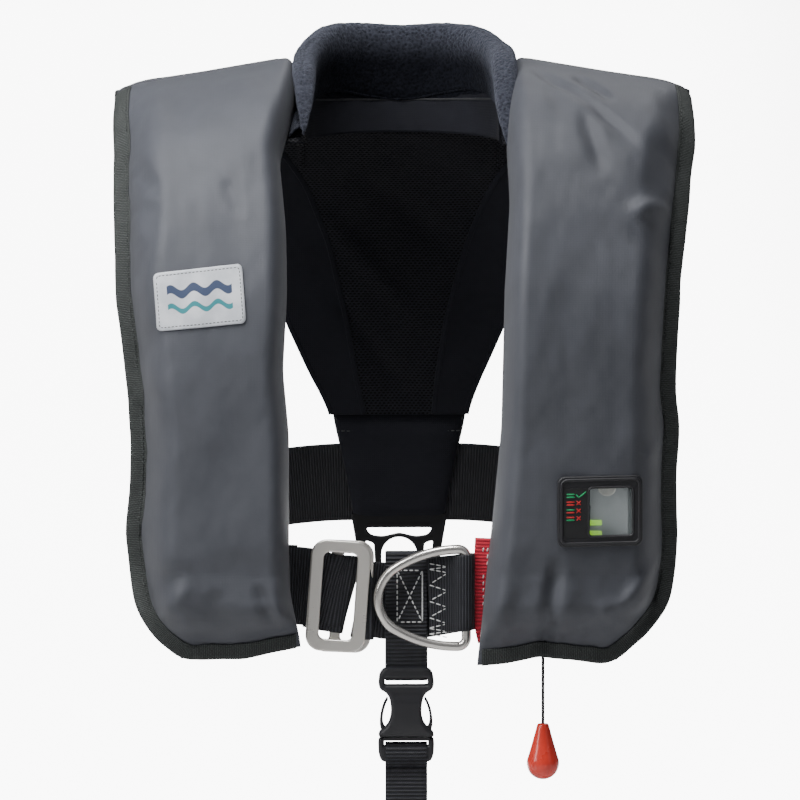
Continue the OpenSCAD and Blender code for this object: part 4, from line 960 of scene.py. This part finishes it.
# Sleeve at the foot of the yoke, with the rear belt through it
REAR_Y = 97
z = np.linspace(-228, -294.5, 46)[:, None]
u = np.linspace(-1, 1, 60)[None]
half = table((-294.5, 26.8), (-248, 35.8), (-228, 40.6))(z)
x = half * u
bulge = 4.6 * (1 - u ** 8) ** 0.5 * ease(z, -294.5, -288) + 0.35 * drift(x / 12, z / 14, 99)
bulge = bulge * (1 - ease(z, -244, -226))
sheet("sleeve_front", coords(x, REAR_Y - bulge, z), coords(x, z), "yoke_cloth", thick=0.9, replaces=("belt_sleeve",))
sheet("sleeve_back", coords(x, REAR_Y + bulge, z)[:, ::-1], coords(x, z), "yoke_cloth", thick=0.9)
seams = [coords(half * k * 0.97, REAR_Y - 1.6, z)[:, 0] for k in (-1, 1)]
seams += [coords(np.linspace(-39, 39, 40), 92.6, -240.0)]
for k, line in enumerate(seams):
    beads(f"sleeve_stitches_{k}", *stitch_line(line, FRONT, 3.2), (2.3, 0.7, 0.8), "thread_grey")

# ---- Waist belt ----
BELT_WIDE = 47.5
BELT = [(0, 97, -272), (44, 97, -272.3), (86, 89, -276), (124, 67, -281), (148, 33, -287), (155, -6, -294),
        (148, -42, -301), (130, -67, -306), (104, -82, -309), (82, -89.5, -310.5), (66, -91.2, -311)]
right_half = spline(BELT, 2.0)
left_half = spline([(-x, y, z + 4 * ease(-y, -60, 90)) for x, y, z in BELT], 2.0)
ring = np.concatenate([right_half[::-1], left_half[1:]])
away = np.cross(unit(np.gradient(ring, axis=0)), UP)
away *= np.sign((away * ring).sum(1, keepdims=True))
# The waist belt takes the darker webbing copy, painted shade for the belt in shade behind the lobes
sweep("waist_webbing", ring, flat_section(BELT_WIDE, 2.3), away, "belt_webbing", replaces=("waist_belt",),
      mat="shaded_rear_webbing")


def strap(name, points, width, thick, slot, out=FRONT, **more):
    """Flat webbing along a path of points; out is the face that looks away from the body at the start."""
    path = spline(points, 1.0)
    d = unit(np.gradient(path, axis=0))
    faces = [np.array(out, float)]
    for way in d[1:]:
        last = faces[-1] - way * np.dot(faces[-1], way)
        faces.append(last / np.linalg.norm(last))
    return sweep(name, path, flat_section(width, thick), np.array(faces), slot, **more)


def bent(obj, change):
    """Moves an object's own points, given and returned in mm."""
    p = np.zeros(len(obj.data.vertices) * 3)
    obj.data.vertices.foreach_get("co", p)
    obj.data.vertices.foreach_set("co", (change(p.reshape(-1, 3) / MM) * MM).ravel())
    obj.data.update()
    return obj


def printed(name, at, ways, size, slot):
    """Small flat marks that face the front."""
    return beads(name, at, ways, [FRONT] * len(ways), size, slot)


def sewn(name, corners, pitch, size):
    """White stitches along the straight runs between corners."""
    corners = np.array(corners)
    runs = [stitch_line(np.stack(ends), FRONT, pitch) for ends in zip(corners[:-1], corners[1:])]
    return beads(name, *(np.concatenate(parts) for parts in zip(*runs)), size, "thread_white")


def slanted(p):
    """The turn of webbing round the slide bar leans, and narrows to the bottom."""
    near = ease(p[:, 0], -44, -35) * ease(-p[:, 1], 93.5, 96)
    p[:, 0] += near * (0.075 * (p[:, 2] + 300) + 1.5)
    return p


LEFT_BELT = [
    (-78, -90.2, -307.6), (-70, -91.2, -307.8), (-63, -92.0, -308.2), (-56, -94.2, -309.0), (-49.5, -97.4, -310.4),
    (-42, -98.2, -312.3), (-36.5, -98.2, -313), (-34.2, -97.2, -313.2), (-33.9, -95.4, -313.3), (-35.2, -93.0, -313.3),
    (-40, -92.4, -313), (-50, -91.6, -311.5), (-57, -91.0, -310)]
bent(strap("belt_left_webbing", LEFT_BELT, BELT_WIDE, 1.9, "belt_webbing", replaces=("left_front_belt",)), slanted)
# (x, z) of the right belt's middle, and its path: the turn round the slide bar, then the run to the right
RIGHT_RUN = np.array([(-28, -316.1), (-20, -316.5), (-8, -317.8), (6, -317.4), (24, -314.5), (40, -312),
                      (54, -310.9), (66, -310.6)])
RIGHT_BELT = [
    (-20.6, -95.4, -316.4), (-20.4, -97.4, -316.4), (-21.6, -98.4, -316.3), (-24, -98.6, -316.2),
    (-26.8, -98.2, -316.1), (-28.1, -96.6, -316), (-27.6, -94.2, -316), (-25.6, -92.6, -316),
    (-20, -91.9, -316.6), (-8, -91.5, -317.8), (6, -91.4, -317.4), (24, -91.4, -314.5), (40, -91.4, -312),
    (54, -91.3, -310.9), (66, -91.2, -310.6)]


def level(p):
    """Takes out the lean that the strap keeps from its turn round the slide bar."""
    middle = np.interp(p[:, 0], *RIGHT_RUN.T)
    p[:, 1] += 0.193 * ease(p[:, 0], -24, -14) * (p[:, 2] - middle)
    return p


bent(strap("belt_right_webbing", RIGHT_BELT, BELT_WIDE, 2.0, "belt_webbing", out=(1, 0, 0),
           replaces=("right_front_belt",)), level)


# ---- Steel buckle: locking frame in front, slide plate behind ----
plate("locking_frame_steel", [box_outline(36.2, 68, 9.5), box_outline(20.4, 53, 3.6)], 3.0, 1.15, "satin_steel",
      at=(-41, -102.0, -313), turn_y=4, body="locking_frame", replaces=("buckle_frame",), smooth=True)
plate("slide_plate_steel",
      [box_outline(36.5, 68.5, 9.5), box_outline(6.5, 55, 3.0, -10), box_outline(9.5, 55, 3.2, 4.6)],
      2.8, 1.0, "satin_steel", at=(-38.5, -95.6, -314), turn_y=2.5, replaces=("buckle_plate",), smooth=True)

# ---- D-ring ----
RING_X, RING_Y, RING_Z, RING_TURN = 36.5, -97.0, -315.0, math.radians(6)
REACH, HALF_H, NOSE_R, CORNER_R = 53.6, 29.6, 22.0, 5.0
gap = REACH - NOSE_R - CORNER_R
flank_r = (gap ** 2 + HALF_H ** 2 - NOSE_R ** 2) / (2 * (HALF_H - NOSE_R))
flank_turn = math.degrees(math.atan2(flank_r - HALF_H, gap))


def arc(x, z, r, start, end, n):
    turn = np.radians(np.linspace(start, end, n))
    return coords(x + r * np.cos(turn), 0, z + r * np.sin(turn))


upper = np.concatenate([arc(-CORNER_R, HALF_H - CORNER_R, CORNER_R, 0, 88, 10),
                        arc(-CORNER_R, HALF_H - flank_r, flank_r, 90, 179 - flank_turn, 26)])
nose = arc(NOSE_R - REACH, 0, NOSE_R, 180 - flank_turn, 180 + flank_turn, 30)
lower = upper[::-1] * (1, 1, -1)
bar = coords(0, 0, np.linspace(-HALF_H + CORNER_R + 0.8, HALF_H - CORNER_R - 0.8, 30))
loop = np.concatenate([upper, nose, lower, bar])
c, s = math.cos(RING_TURN), math.sin(RING_TURN)
loop = loop @ np.array([[c, s, 0], [-s, c, 0], [0, 0, 1]]) + (RING_X, RING_Y, RING_Z)
toward = np.cross(unit(np.roll(loop, -1, 0) - np.roll(loop, 1, 0)), (s, -c, 0))
sweep("d_ring_steel", loop, round_section(2.9, 20), toward, "polished_steel", closed=True, body="d_ring",
      replaces=("d_ring",))

# Webbing loop round the ring's straight bar, sewn down on the belt
LAP = [(13.6, -93.6, -313.2), (20, -93.7, -313.0), (28, -94.2, -313.0), (33, -93.9, -313), (36.8, -93.0, -313),
       (40.0, -94.4, -313), (40.9, -97.2, -313), (39.4, -100.2, -313), (36.0, -101.2, -313), (32.4, -100.2, -313),
       (28.6, -97.6, -313), (24, -96.2, -313), (18, -95.8, -313.2), (13.6, -95.7, -313.4)]


def risen(p):
    """The loop climbs a little to the right, as the belt under it does."""
    p[:, 2] += 0.11 * (p[:, 0] - 24)
    return p


bent(strap("ring_loop_webbing", LAP, 46.5, 1.6, "belt_webbing", out=BACK, replaces=("d_ring_loop",)), risen)
zig = []
for z0 in (-291.5, -295, -304.5, -314.5, -324.5, -331, -334.5):
    zig += [(13.9, -96.75, z0 - 1.5), (25.4, -96.75, z0 - (3.4 if z0 > -300 or z0 < -329 else 5.0) - 1.5)]
sewn("bartack_thread", risen(np.array(zig)), 3.9, (3.0, 0.75, 0.6))

# ---- Crotch strap: loop over the belt, box stitch, side-release buckle, hank ----
STRAP_X = 0.4


def crotch(name, run, width, thick, **more):
    """Crotch-strap webbing along (y, z) points."""
    return strap(name, [(STRAP_X, y, z) for y, z in run], width, thick, "strap_webbing", **more)


crotch("crotch_loop_webbing", [(-88.6, -366), (-88.4, -352), (-88.6, -330), (-88.6, -300), (-89.4, -290),
                               (-91.4, -287.7), (-93.6, -289.6), (-94.3, -296), (-94.5, -320), (-94.6, -345),
                               (-94.3, -358), (-93.7, -363.6), (-91.4, -365.6), (-89.4, -364.4)],
       25.5, 1.5, out=BACK, replaces=("upper_crotch_strap",))
box = [(-5.6, -298.5), (9.6, -298.5), (9.6, -330), (-5.6, -330), (-5.6, -298.5), (9.6, -330), (9.6, -298.5),
       (-5.6, -330)]
sewn("box_stitch_thread", [(x + STRAP_X, -95.35, z) for x, z in box], 3.4, (2.4, 0.85, 0.55))

CLIP_X, CLIP_Y = 0.3, -91.3


def both(half):
    """Outline from its right half, top to bottom, mirrored."""
    h = np.array(half, float)
    return np.concatenate([h, h[::-1] * (-1, 1)])


def dome(x, z):
    """The clip's waist bulges forwards in the middle."""
    return -1.6 * np.clip(1 - (x / 17.5) ** 2, 0, 1) * ease(-z, 372, 380)


shell = rounded(both([(13.6, -358.2), (16.2, -361.5), (16.9, -368), (15.6, -371.5), (12.4, -373), (10.2, -376.2),
                      (9.3, -381), (9.2, -386), (10.4, -391.2), (13.2, -394.6), (16.4, -397), (16.9, -400.2)]), 2.2)
slot = rounded(both([(12.9, -364.6), (12.9, -368.4)]), 0.8)
plate("clip_female_shell", [shell, slot], 8.6, 2.0, "black_plastic", at=(CLIP_X, CLIP_Y - 0.9, 0), bend=dome,
      replaces=("clip_female",), smooth=True)
crotch("clip_strap_turn", [(-94.9, -357.5), (-95.3, -360.2), (-94.9, -362.8)], 25.2, 1.2)
male = rounded(both([(16.6, -400.7), (17.0, -404), (16.7, -411), (14.8, -415.6)]), 2.4)
male_slot = rounded(both([(13.3, -402.4), (13.3, -405.6)]), 0.8)
plate("clip_male_frame", [male, male_slot], 6.4, 1.8, "black_plastic", at=(CLIP_X, CLIP_Y - 0.6, 0),
      replaces=("clip_male",), smooth=True)
PRONG = np.array([(9.0, -398.5), (11.8, -399.4), (14.8, -397.4), (16.0, -393.2), (15.9, -388.6), (15.0, -383.4),
                  (13.2, -378.4), (11.3, -375.8), (10.9, -377.4), (12.3, -380.2), (13.7, -385.0), (14.2, -389.2),
                  (13.6, -393.0), (11.2, -395.6)])
for side, sign in SIDES.items():
    arm = rounded(PRONG * (sign, 1), 1.4)
    plate("clip_prong_" + side, [arm[::sign]], 5.2, 1.2, "black_plastic", at=(CLIP_X, CLIP_Y - 0.5, 0),
          body="prong_" + side, replaces=("prong_" + side,), smooth=True)
crotch("lower_strap_webbing", [(-88.9, -404), (-88.7, -411), (-90, -417.4), (-92.8, -417.6), (-95.0, -413.6),
                               (-95.2, -408.8), (-94.4, -405.8), (-92.6, -405.2)],
       25.4, 1.4, out=BACK, replaces=("lower_crotch_strap",))
crotch("lower_strap_run", [(-89.9, -414), (-91.4, -420), (-92.6, -430), (-92.6, -450), (-92.4, -466)], 25.4, 1.4)
# The spare length lies folded, with an elastic keeper round it
layers = []
for k in range(5):
    y = -99.2 + 3.9 * k
    ends = [(y, -468 - 2 * (k % 2)), (y, -546 + 2 * (k % 2))]
    layers += ends if k % 2 == 0 else ends[::-1]
turns = []
for k, (y, z) in enumerate(layers):
    turns.append((y, z))
    if k % 2 and k + 1 < len(layers):
        turns.append(((y + layers[k + 1][0]) / 2, z + (-3.0 if z < -500 else 3.0)))
crotch("spare_strap_hank", turns, 25.2, 1.7, replaces=("strap_hank",))
keeper = box_outline(28.4, 20.8, 3.0)
sweep("hank_keeper", coords(keeper[:, 0] + STRAP_X, keeper[:, 1] + CLIP_Y, -507), flat_section(20, 1.1),
      coords(*keeper.T, 0), "elastic", closed=True, replaces=("strap_keeper",))

# Red lifting loop, with plain woven marks
RED_LOOP = [(53.0, -94.3, -279.2), (52.6, -94.4, -290), (52.2, -94.5, -310), (52.6, -94.6, -330), (54.6, -94.7, -341)]
strap("lifting_loop_webbing", RED_LOOP, 22.5, 1.3, "red_webbing", replaces=("lifting_loop",))
marks = [(x, -95.1, z) for z in np.arange(-286, -333, -4.1) for x in (46.8, 49.4) if (int(-z * 3 + x) % 4) != 1]
printed("lifting_loop_marks", marks, [(0.2, 0, 1)] * len(marks), (2.4, 0.9, 0.3), "thread_white")

# ---- Rear bracket ----
web = rounded([(-29.5, -291), (29.5, -291), (24.2, -322), (22, -334), (17.5, -338), (17.5, -353.6), (-17.5, -353.6),
               (-17.5, -338), (-22, -334), (-24.2, -322)], 3)
lens = rounded([(-20.5, -300.0), (20.5, -300.0), (17.5, -304.6), (10, -305.6), (0, -303.2), (-10, -305.6),
                (-17.5, -304.6)], 2.4)
hole = np.array([(10.8 * math.cos(t), -316.6 + 10.8 * math.sin(t)) for t in np.linspace(0, math.pi, 24)])
hole = np.concatenate([hole, [(-10.8, -328), (-9, -334.5), (9, -334.5), (10.8, -328)]])
sides = [rounded([(k * 20.6, -307.8), (k * 15.4, -309.6), (k * 14.4, -328), (k * 19.2, -328)], 1.6) for k in (-1, 1)]
plate("rear_bracket_web", [web, lens, hole, *sides, box_outline(26.5, 4, 1.2, 0, -346.7)], 4.0, 0.9,
      "black_plastic", at=(0, REAR_Y, 0), replaces=("rear_bracket",), smooth=True, mat="dark_plastic")


# ---- Badge on the left lobe ----
def on_lobe(side, x, s, lift):
    """Point on the outside of the cover, raised by lift along the surface."""
    p = [cover_point(side, x + dx, s + ds) for dx, ds in ((-1.5, 0), (1.5, 0), (0, -1.5), (0, 1.5))]
    n = unit(np.cross(p[1] - p[0], p[3] - p[2]))
    return cover_point(side, x, s) - n * np.sign(n[..., 1:2]) * lift


BADGE_X, BADGE_S, BADGE_TURN = 124.5, 152.9, math.radians(4.8)


def on_badge(q, lift):
    """Point on the left lobe at q on the badge, measured from its middle."""
    c, s = math.cos(BADGE_TURN), math.sin(BADGE_TURN)
    return on_lobe("left", BADGE_X + q[..., 0] * c + q[..., 1] * s, BADGE_S - q[..., 1] * c + q[..., 0] * s, lift)


def dense(outline, step=1.3):
    """The closed outline with even, close points."""
    return resample(np.pad(np.concatenate([outline, outline[:1]]), ((0, 0), (0, 1))), step)[:-1, :2]


# Rows of points shrunk in from the outline, after two rows that make the edge
BADGE_THICK = 1.1
q = dense(box_outline(53, 29.4, 2.6))[None] * np.linspace(1, 0.03, 18)[:, None, None]
p = np.concatenate([on_badge(q[:1], -0.6), on_badge(q[:1], BADGE_THICK * 0.7), on_badge(q, BADGE_THICK)])
q = np.concatenate([q[:1], q[:1], q])
add_mesh("badge_face", p.reshape(-1, 3), [f[::-1] for f in tube(*p.shape[:2])], "label",
         uv=(q * (-1, 1)).reshape(-1, 2), replaces=("label_patch",))
line = on_badge(dense(box_outline(49.6, 26.0, 1.6)), BADGE_THICK + 0.05)
beads("badge_stitches", *stitch_line(line, FRONT, 2.3), (1.5, 0.5, 0.5), "thread_grey")

# ---- Inflator window ----
def in_window(p):
    """From window coordinates (x, forwards, z) to the row frame."""
    p = np.asarray(p, float)
    c, s = math.cos(math.radians(WINDOW_TURN)), math.sin(math.radians(WINDOW_TURN))
    return coords(p[..., 0] * c - p[..., 1] * s, p[..., 0] * s + p[..., 1] * c, p[..., 2]) + WINDOW


def window_plate(name, outlines, y, *values, **more):
    return plate(name, outlines, *values, at=in_window((0, y, 0)), turn_z=WINDOW_TURN, **more)


def window_bead(name, outline, y, r):
    """Raised line along an outline on the window."""
    sweep(name, in_window(coords(outline[:, 0], y, outline[:, 1])), round_section(r, 8), FRONT, "black_plastic",
          closed=True)


def pane_outline(w, h, r):
    return box_outline(w, h, r, 6.4, -0.4)


window_plate("window_frame_moulding", [box_outline(52, 43, 4.5), pane_outline(26, 28.6, 2.0)], 0, 3.4, 0.9,
             "black_plastic", replaces=("window_frame",), smooth=True)
window_bead("window_bead", box_outline(47.6, 38.6, 3.4), -1.9, 1.0)
window_bead("pane_bead", pane_outline(27.4, 30, 2.4), -1.7, 0.7)
window_plate("status_card_face", [box_outline(15.0, 30, 1.2, -15.0, -0.6)], -1.75, 0.5, 0.12, "card",
             replaces=("status_card",))
window_plate("window_pane_sheet", [pane_outline(27.2, 29.8, 2.2)], -0.2, 0.8, 0.2, "clear_plastic",
             replaces=("window_pane",))
# Rows of the card: (height, first or second dash of the pair), then a tick and three crosses
CARD_Y, PAIRS = -2.2, {"mark_green": ((9.6, 0), (9.6, 1), (0.2, 0), (-4.4, 1)),
                       "mark_red": ((4.9, 0), (4.9, 1), (0.2, 1), (-4.4, 0))}
for slot, rows in PAIRS.items():
    dashes = in_window([(-18.4, CARD_Y, z + 1.2 - 1.7 * k) for z, k in rows])
    printed(slot + "_dashes", dashes, [(1, 0.16, 0)] * len(rows), (5.2, 0.95, 0.4), slot)
tick = in_window([(-14.1, CARD_Y, 9.7), (-11.1, CARD_Y, 10.6)])
printed("status_tick", tick[:1], [(1.0, 0.16, -1.0)], (3.0, 0.9, 0.4), "mark_green")
printed("status_tick_rise", tick[1:], [(1.25, 0.16, 1.0)], (5.8, 0.9, 0.4), "mark_green")
cross = in_window([(-13.4, CARD_Y, z + 0.6) for z in (4.9, 4.9, 0.2, 0.2, -4.4, -4.4)])
printed("status_crosses", cross, [(1, 0.16, 1), (1, 0.16, -1)] * 3, (3.6, 0.8, 0.4), "mark_red")

# ---- What shows through the window ----
plate("inflator_head", [box_outline(28, 34, 3.0, 119, WINDOW[2])], 9, 1.6, "grey_plastic", at=(0, -124.6, 0),
      smooth=True)
plate("inflator_cap", [round_section(5.6, 36)], 3.0, 0.8, "valve_plastic", at=(120.4, -130.2, -242.9), smooth=True)
for k, z in enumerate((-264.5, -271.1)):
    plate(f"indicator_tab_{k}", [box_outline(9.5, 3.4, 0.8, 112.6, z)], 1.6, 0.4, "indicator", at=(0, -130.8, 0),
          smooth=True, replaces=("indicator_tabs",)[k:])

# Whistle's lanyard, tied at both ends inside the cover
LANYARD = [(-137, -122, -216), (-137, -126, -216), (-135, -128, -214), (-130, -129, -207), (-122, -128.5, -203),
           (-115, -129, -200.5), (-110, -128.5, -199.5)]
sweep("whistle_lanyard_braid", spline(LANYARD, 1.0), round_section(1.0, 10), (0, 0, 1), "cord",
      replaces=("whistle_lanyard",))

# ---- CAD parts that stay: packed inside the cover ----
hidden_now = {n for o in bpy.data.objects if "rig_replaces" in o for n in o["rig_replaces"]}
for part in frame["record"]["subparts"]:
    if part["node"] not in hidden_now:
        node = frame["nodes"][part["node"]]
        node.data.materials.clear()
        node.data.materials.append(MAT[part["material_slot"]])


# ---- Studio: pale floor that glows behind the jacket and curves up far away; soft light from the upper left ----
FLOOR_Z, COVE_Y, COVE_R = -0.64, 60.0, 2.4


def pale(name, color, rough, glow):
    """Matt white; a patch of it glows behind the jacket like a light table."""
    s = shades(Shader(name, color, rough), color, 0.01, 3)
    s.put("Emission Color", (1, 1, 1, 1))
    patch = s.ramp(s.axis(1, s.point), 5.2, 6.5, 1.0, 0.0)
    patch = s.math("MULTIPLY", patch, s.ramp(s.math("ABSOLUTE", s.axis(0, s.point)), 0.27, 0.8, 1.0, 0.04))
    s.put("Emission Strength", s.math("MULTIPLY", s.ramp(s.axis(1, s.point), 0.25, 0.7, 0.0, glow), patch))
    s.bump(s.noise(60, 3), 0.02, 0.001)


turn = np.radians(np.linspace(0, 90, 24))
cove = coords(COVE_Y + COVE_R * np.sin(turn), FLOOR_Z + COVE_R * (1 - np.cos(turn)))
profile = np.concatenate([[(-8, FLOOR_Z), (0.1, FLOOR_Z)], cove, [(COVE_Y + COVE_R, 7)]])
mesh = bpy.data.meshes.new("floor")
n = len(profile)
mesh.from_pydata([(x, y, z) for x in (-10, 10) for y, z in profile.tolist()], [],
                 [(k, k + n, k + n + 1, k + 1) for k in range(n - 1)])
mesh.polygons.foreach_set("use_smooth", [True] * (n - 1))
pale("floor", (0.68, 0.68, 0.68), 0.9, 9.0)
mesh.materials.append(MAT["floor"])
linked("floor", mesh)


def area_light(name, at, aim, size, power):
    light = bpy.data.lights.new(name, "AREA")
    light.shape, light.size, light.size_y, light.energy = "RECTANGLE", *size, power
    obj = linked(name, light)
    obj.location = at
    look_at(obj, aim)


area_light("top", (-0.13, -0.77, 2.75), (-0.02, -0.05, -0.15), (0.9, 0.5), 75)
area_light("near_left", (-0.42, -0.42, 0.35), (-0.02, -0.1, -0.15), (0.4, 0.3), 5.2)
area_light("low_left", (-0.95, -0.62, 0.12), (-0.1, -0.1, -0.15), (0.35, 0.5), 2.7)
area_light("far_left", (-2.4, -1.33, 1.1), (0, 0, -0.2), (0.8, 1.2), 10)
area_light("back", (0.7, 1.9, 2.1), (0, 0.05, -0.15), (1.2, 1.2), 22)
area_light("right_fill", (2.6, -2.0, 0.9), (0, 0, -0.2), (0.8, 1.4), 1.7)
world = bpy.data.worlds.new("studio")
bpy.context.scene.world = world
world.use_nodes = True
sky = world.node_tree.nodes["Background"].inputs
sky["Color"].default_value, sky["Strength"].default_value = (0.9, 0.92, 1.0, 1), 0.1
